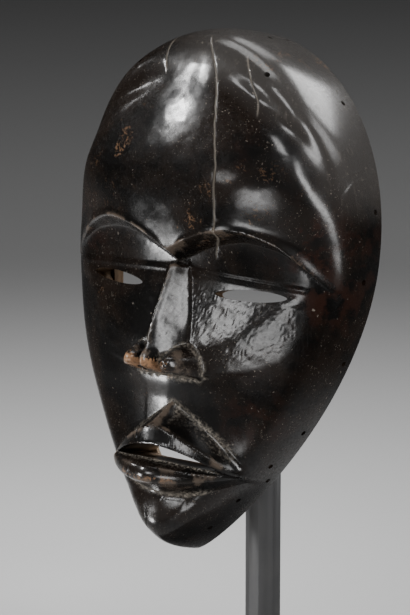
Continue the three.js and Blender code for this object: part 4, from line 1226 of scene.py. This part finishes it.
def make_floor():
    """Flat pale floor out to the horizon, with light falloff painted in: palest near the stand, darker with
    the distance from it.
    """
    x, y = np.meshgrid(np.linspace(-6, 6, 3), np.linspace(-6, 6, 3))
    points = np.stack([x.ravel(), y.ravel(), np.zeros(x.size)], 1)
    k = np.arange(x.size).reshape(3, 3)
    quads = np.stack([k[:-1, :-1], k[:-1, 1:], k[1:, 1:], k[1:, :-1]], -1).reshape(-1, 4)
    material, tree, shader = new_material("painted_falloff_floor", 0.9, Specular_IOR_Level=0.1)
    where = node(tree, "ShaderNodeTexCoord", (-700, 0))
    away = node(tree, "ShaderNodeVectorMath", (-400, 0), operation="DISTANCE")
    away.inputs[1].default_value = FLOOR_LIGHT_POOL
    link(tree, where.outputs["Object"], away.inputs[0])
    shade = between(tree, away.outputs["Value"], -0.4, 0.9, (0, 0))
    link(tree, mixed(tree, shade, FLOOR_LIT, FLOOR_FALLOFF_DARK, (200, 0)), shader.inputs["Base Color"])
    thing("paper_floor", mesh_from("paper_floor", points, quads), material)


# Painted light falloff on the floor: the palest point, the lit colour near it and the darker colour far away
FLOOR_LIGHT_POOL = (-0.2, 0.12, 0.0)
FLOOR_LIT = (0.64, 0.64, 0.64)
FLOOR_FALLOFF_DARK = (0.092, 0.092, 0.092)


def direction(azimuth, elevation):
    """Unit vector from the object towards a compass direction and height, azimuth 0 being the front."""
    a, e = math.radians(azimuth), math.radians(elevation)
    return Vector((math.sin(a) * math.cos(e), -math.cos(a) * math.cos(e), math.sin(e)))


def soft_light(name, azimuth, elevation, distance, size, power, target):
    """A square soft box that faces the mask."""
    data = bpy.data.lights.new(name, "AREA")
    data.shape = "RECTANGLE"
    data.size, data.size_y = size
    data.energy = power
    light = bpy.data.objects.new(name, data)
    bpy.context.scene.collection.objects.link(light)
    towards = direction(azimuth, elevation)
    light.location = target + towards * distance
    light.rotation_mode = "QUATERNION"
    light.rotation_quaternion = towards.to_track_quat("Z", "Y")
    light.visible_camera = False


def make_lights(target):
    soft_light("key_left", -46, 36, 1.9, (0.2, 0.2), 28, target)
    soft_light("left_kick", -86, 26, 1.9, (0.16, 0.16), 5, target)
    soft_light("side_right", 79, 15, 1.9, (0.4, 1.4), 26, target)
    soft_light("high_right", 55, 46, 1.9, (0.4, 0.4), 7, target)
    soft_light("back_right", 125, 30, 1.9, (0.5, 0.5), 5, target)
    soft_light("high_back", 160, 34, 1.9, (1.0, 0.5), 18, target)
    soft_light("back_left", -165, 46, 1.9, (0.6, 0.5), 3.4, target)
    soft_light("front_panel", -8, 17, 1.9, (0.36, 0.4), 7, target)
    soft_light("low_front", 20, -4, 0.9, (0.32, 0.236), 2.4, target)
    soft_light("low_left", -40, -13, 0.7, (0.12, 0.12), 2.2, target)
    soft_light("floor_wash", 0, 82, 2.6, (2.0, 1.2), 43, target + Vector((0, 1.0, 0)))
    world = bpy.data.worlds.new("studio_air")
    world.use_nodes = True
    world.node_tree.nodes["Background"].inputs["Color"].default_value = (0.5, 0.5, 0.51, 1)
    world.node_tree.nodes["Background"].inputs["Strength"].default_value = 0.10
    bpy.context.scene.world = world


def make_camera(mask_middle):
    """Long lens at the picture's azimuth and height, aimed so that the mask falls where it does there."""
    back = direction(CAMERA_AZIMUTH, CAMERA_ELEVATION)
    a = math.radians(CAMERA_AZIMUTH)
    right = Vector((math.cos(a), math.sin(a), 0))
    up = back.cross(right)
    pixel = MM / PIXELS_PER_MM
    aim = mask_middle - right * (MASK_PIXEL[0] - PICTURE_WIDTH / 2) * pixel
    aim -= up * (PICTURE_HEIGHT / 2 - MASK_PIXEL[1]) * pixel
    data = bpy.data.cameras.new("camera")
    data.sensor_width = SENSOR_MM
    data.lens = SENSOR_MM * CAMERA_DISTANCE / (PICTURE_HEIGHT * pixel)
    camera = bpy.data.objects.new("camera", data)
    bpy.context.scene.collection.objects.link(camera)
    camera.location = aim + back * CAMERA_DISTANCE
    camera.rotation_mode = "QUATERNION"
    camera.rotation_quaternion = back.to_track_quat("Z", "Y")
    bpy.context.scene.camera = camera


def dress():
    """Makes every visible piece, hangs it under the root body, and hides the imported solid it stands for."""
    mottle, specks, fibres = build_mottle_group(), build_speck_group(), build_fibre_group()
    wood = patinated_wood(mottle, specks, fibres, build_crackle_group())
    steel = brushed_steel("satin_steel", STEEL, RUBBED_STEEL, 0.56, mottle, fibres, 0.35)
    paint = brushed_steel("black_plate_paint", PLATE_PAINT, RUBBED_PAINT, 0.55, mottle, fibres, 0.0)
    rubber = moulded_rubber(mottle)

    mask = carve_mask()
    paint_mask(mask)
    stand_up(mask)
    smooth(mask)
    mask.data.materials.clear()
    mask.data.materials.append(wood)
    pieces = [
        (mask, "mask", "mask_wood"),
        (make_base(paint), "base_plate", "base_paint"),
        (make_post(steel), "post", "stand_steel"),
        (make_fork(steel), "fork", "stand_steel"),
        (make_arm(steel), "lower_arm", "stand_steel"),
        (make_cap("fork_sleeve_left", "left_sleeve", rubber, False), "fork_sleeve_left", "sleeve_rubber"),
        (make_cap("fork_sleeve_right", "right_sleeve", rubber, False), "fork_sleeve_right", "sleeve_rubber"),
        (make_cap("lower_pad", "chin_pad", rubber, True), "lower_pad", "sleeve_rubber"),
    ]
    for piece, solid, finish in pieces:
        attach(piece, "root")
        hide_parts(solid)


mask_middle = Vector((0, MASK_FORWARD, MASK_LEVEL)) * MM
dress()
make_floor()
make_lights(mask_middle)
make_camera(mask_middle)
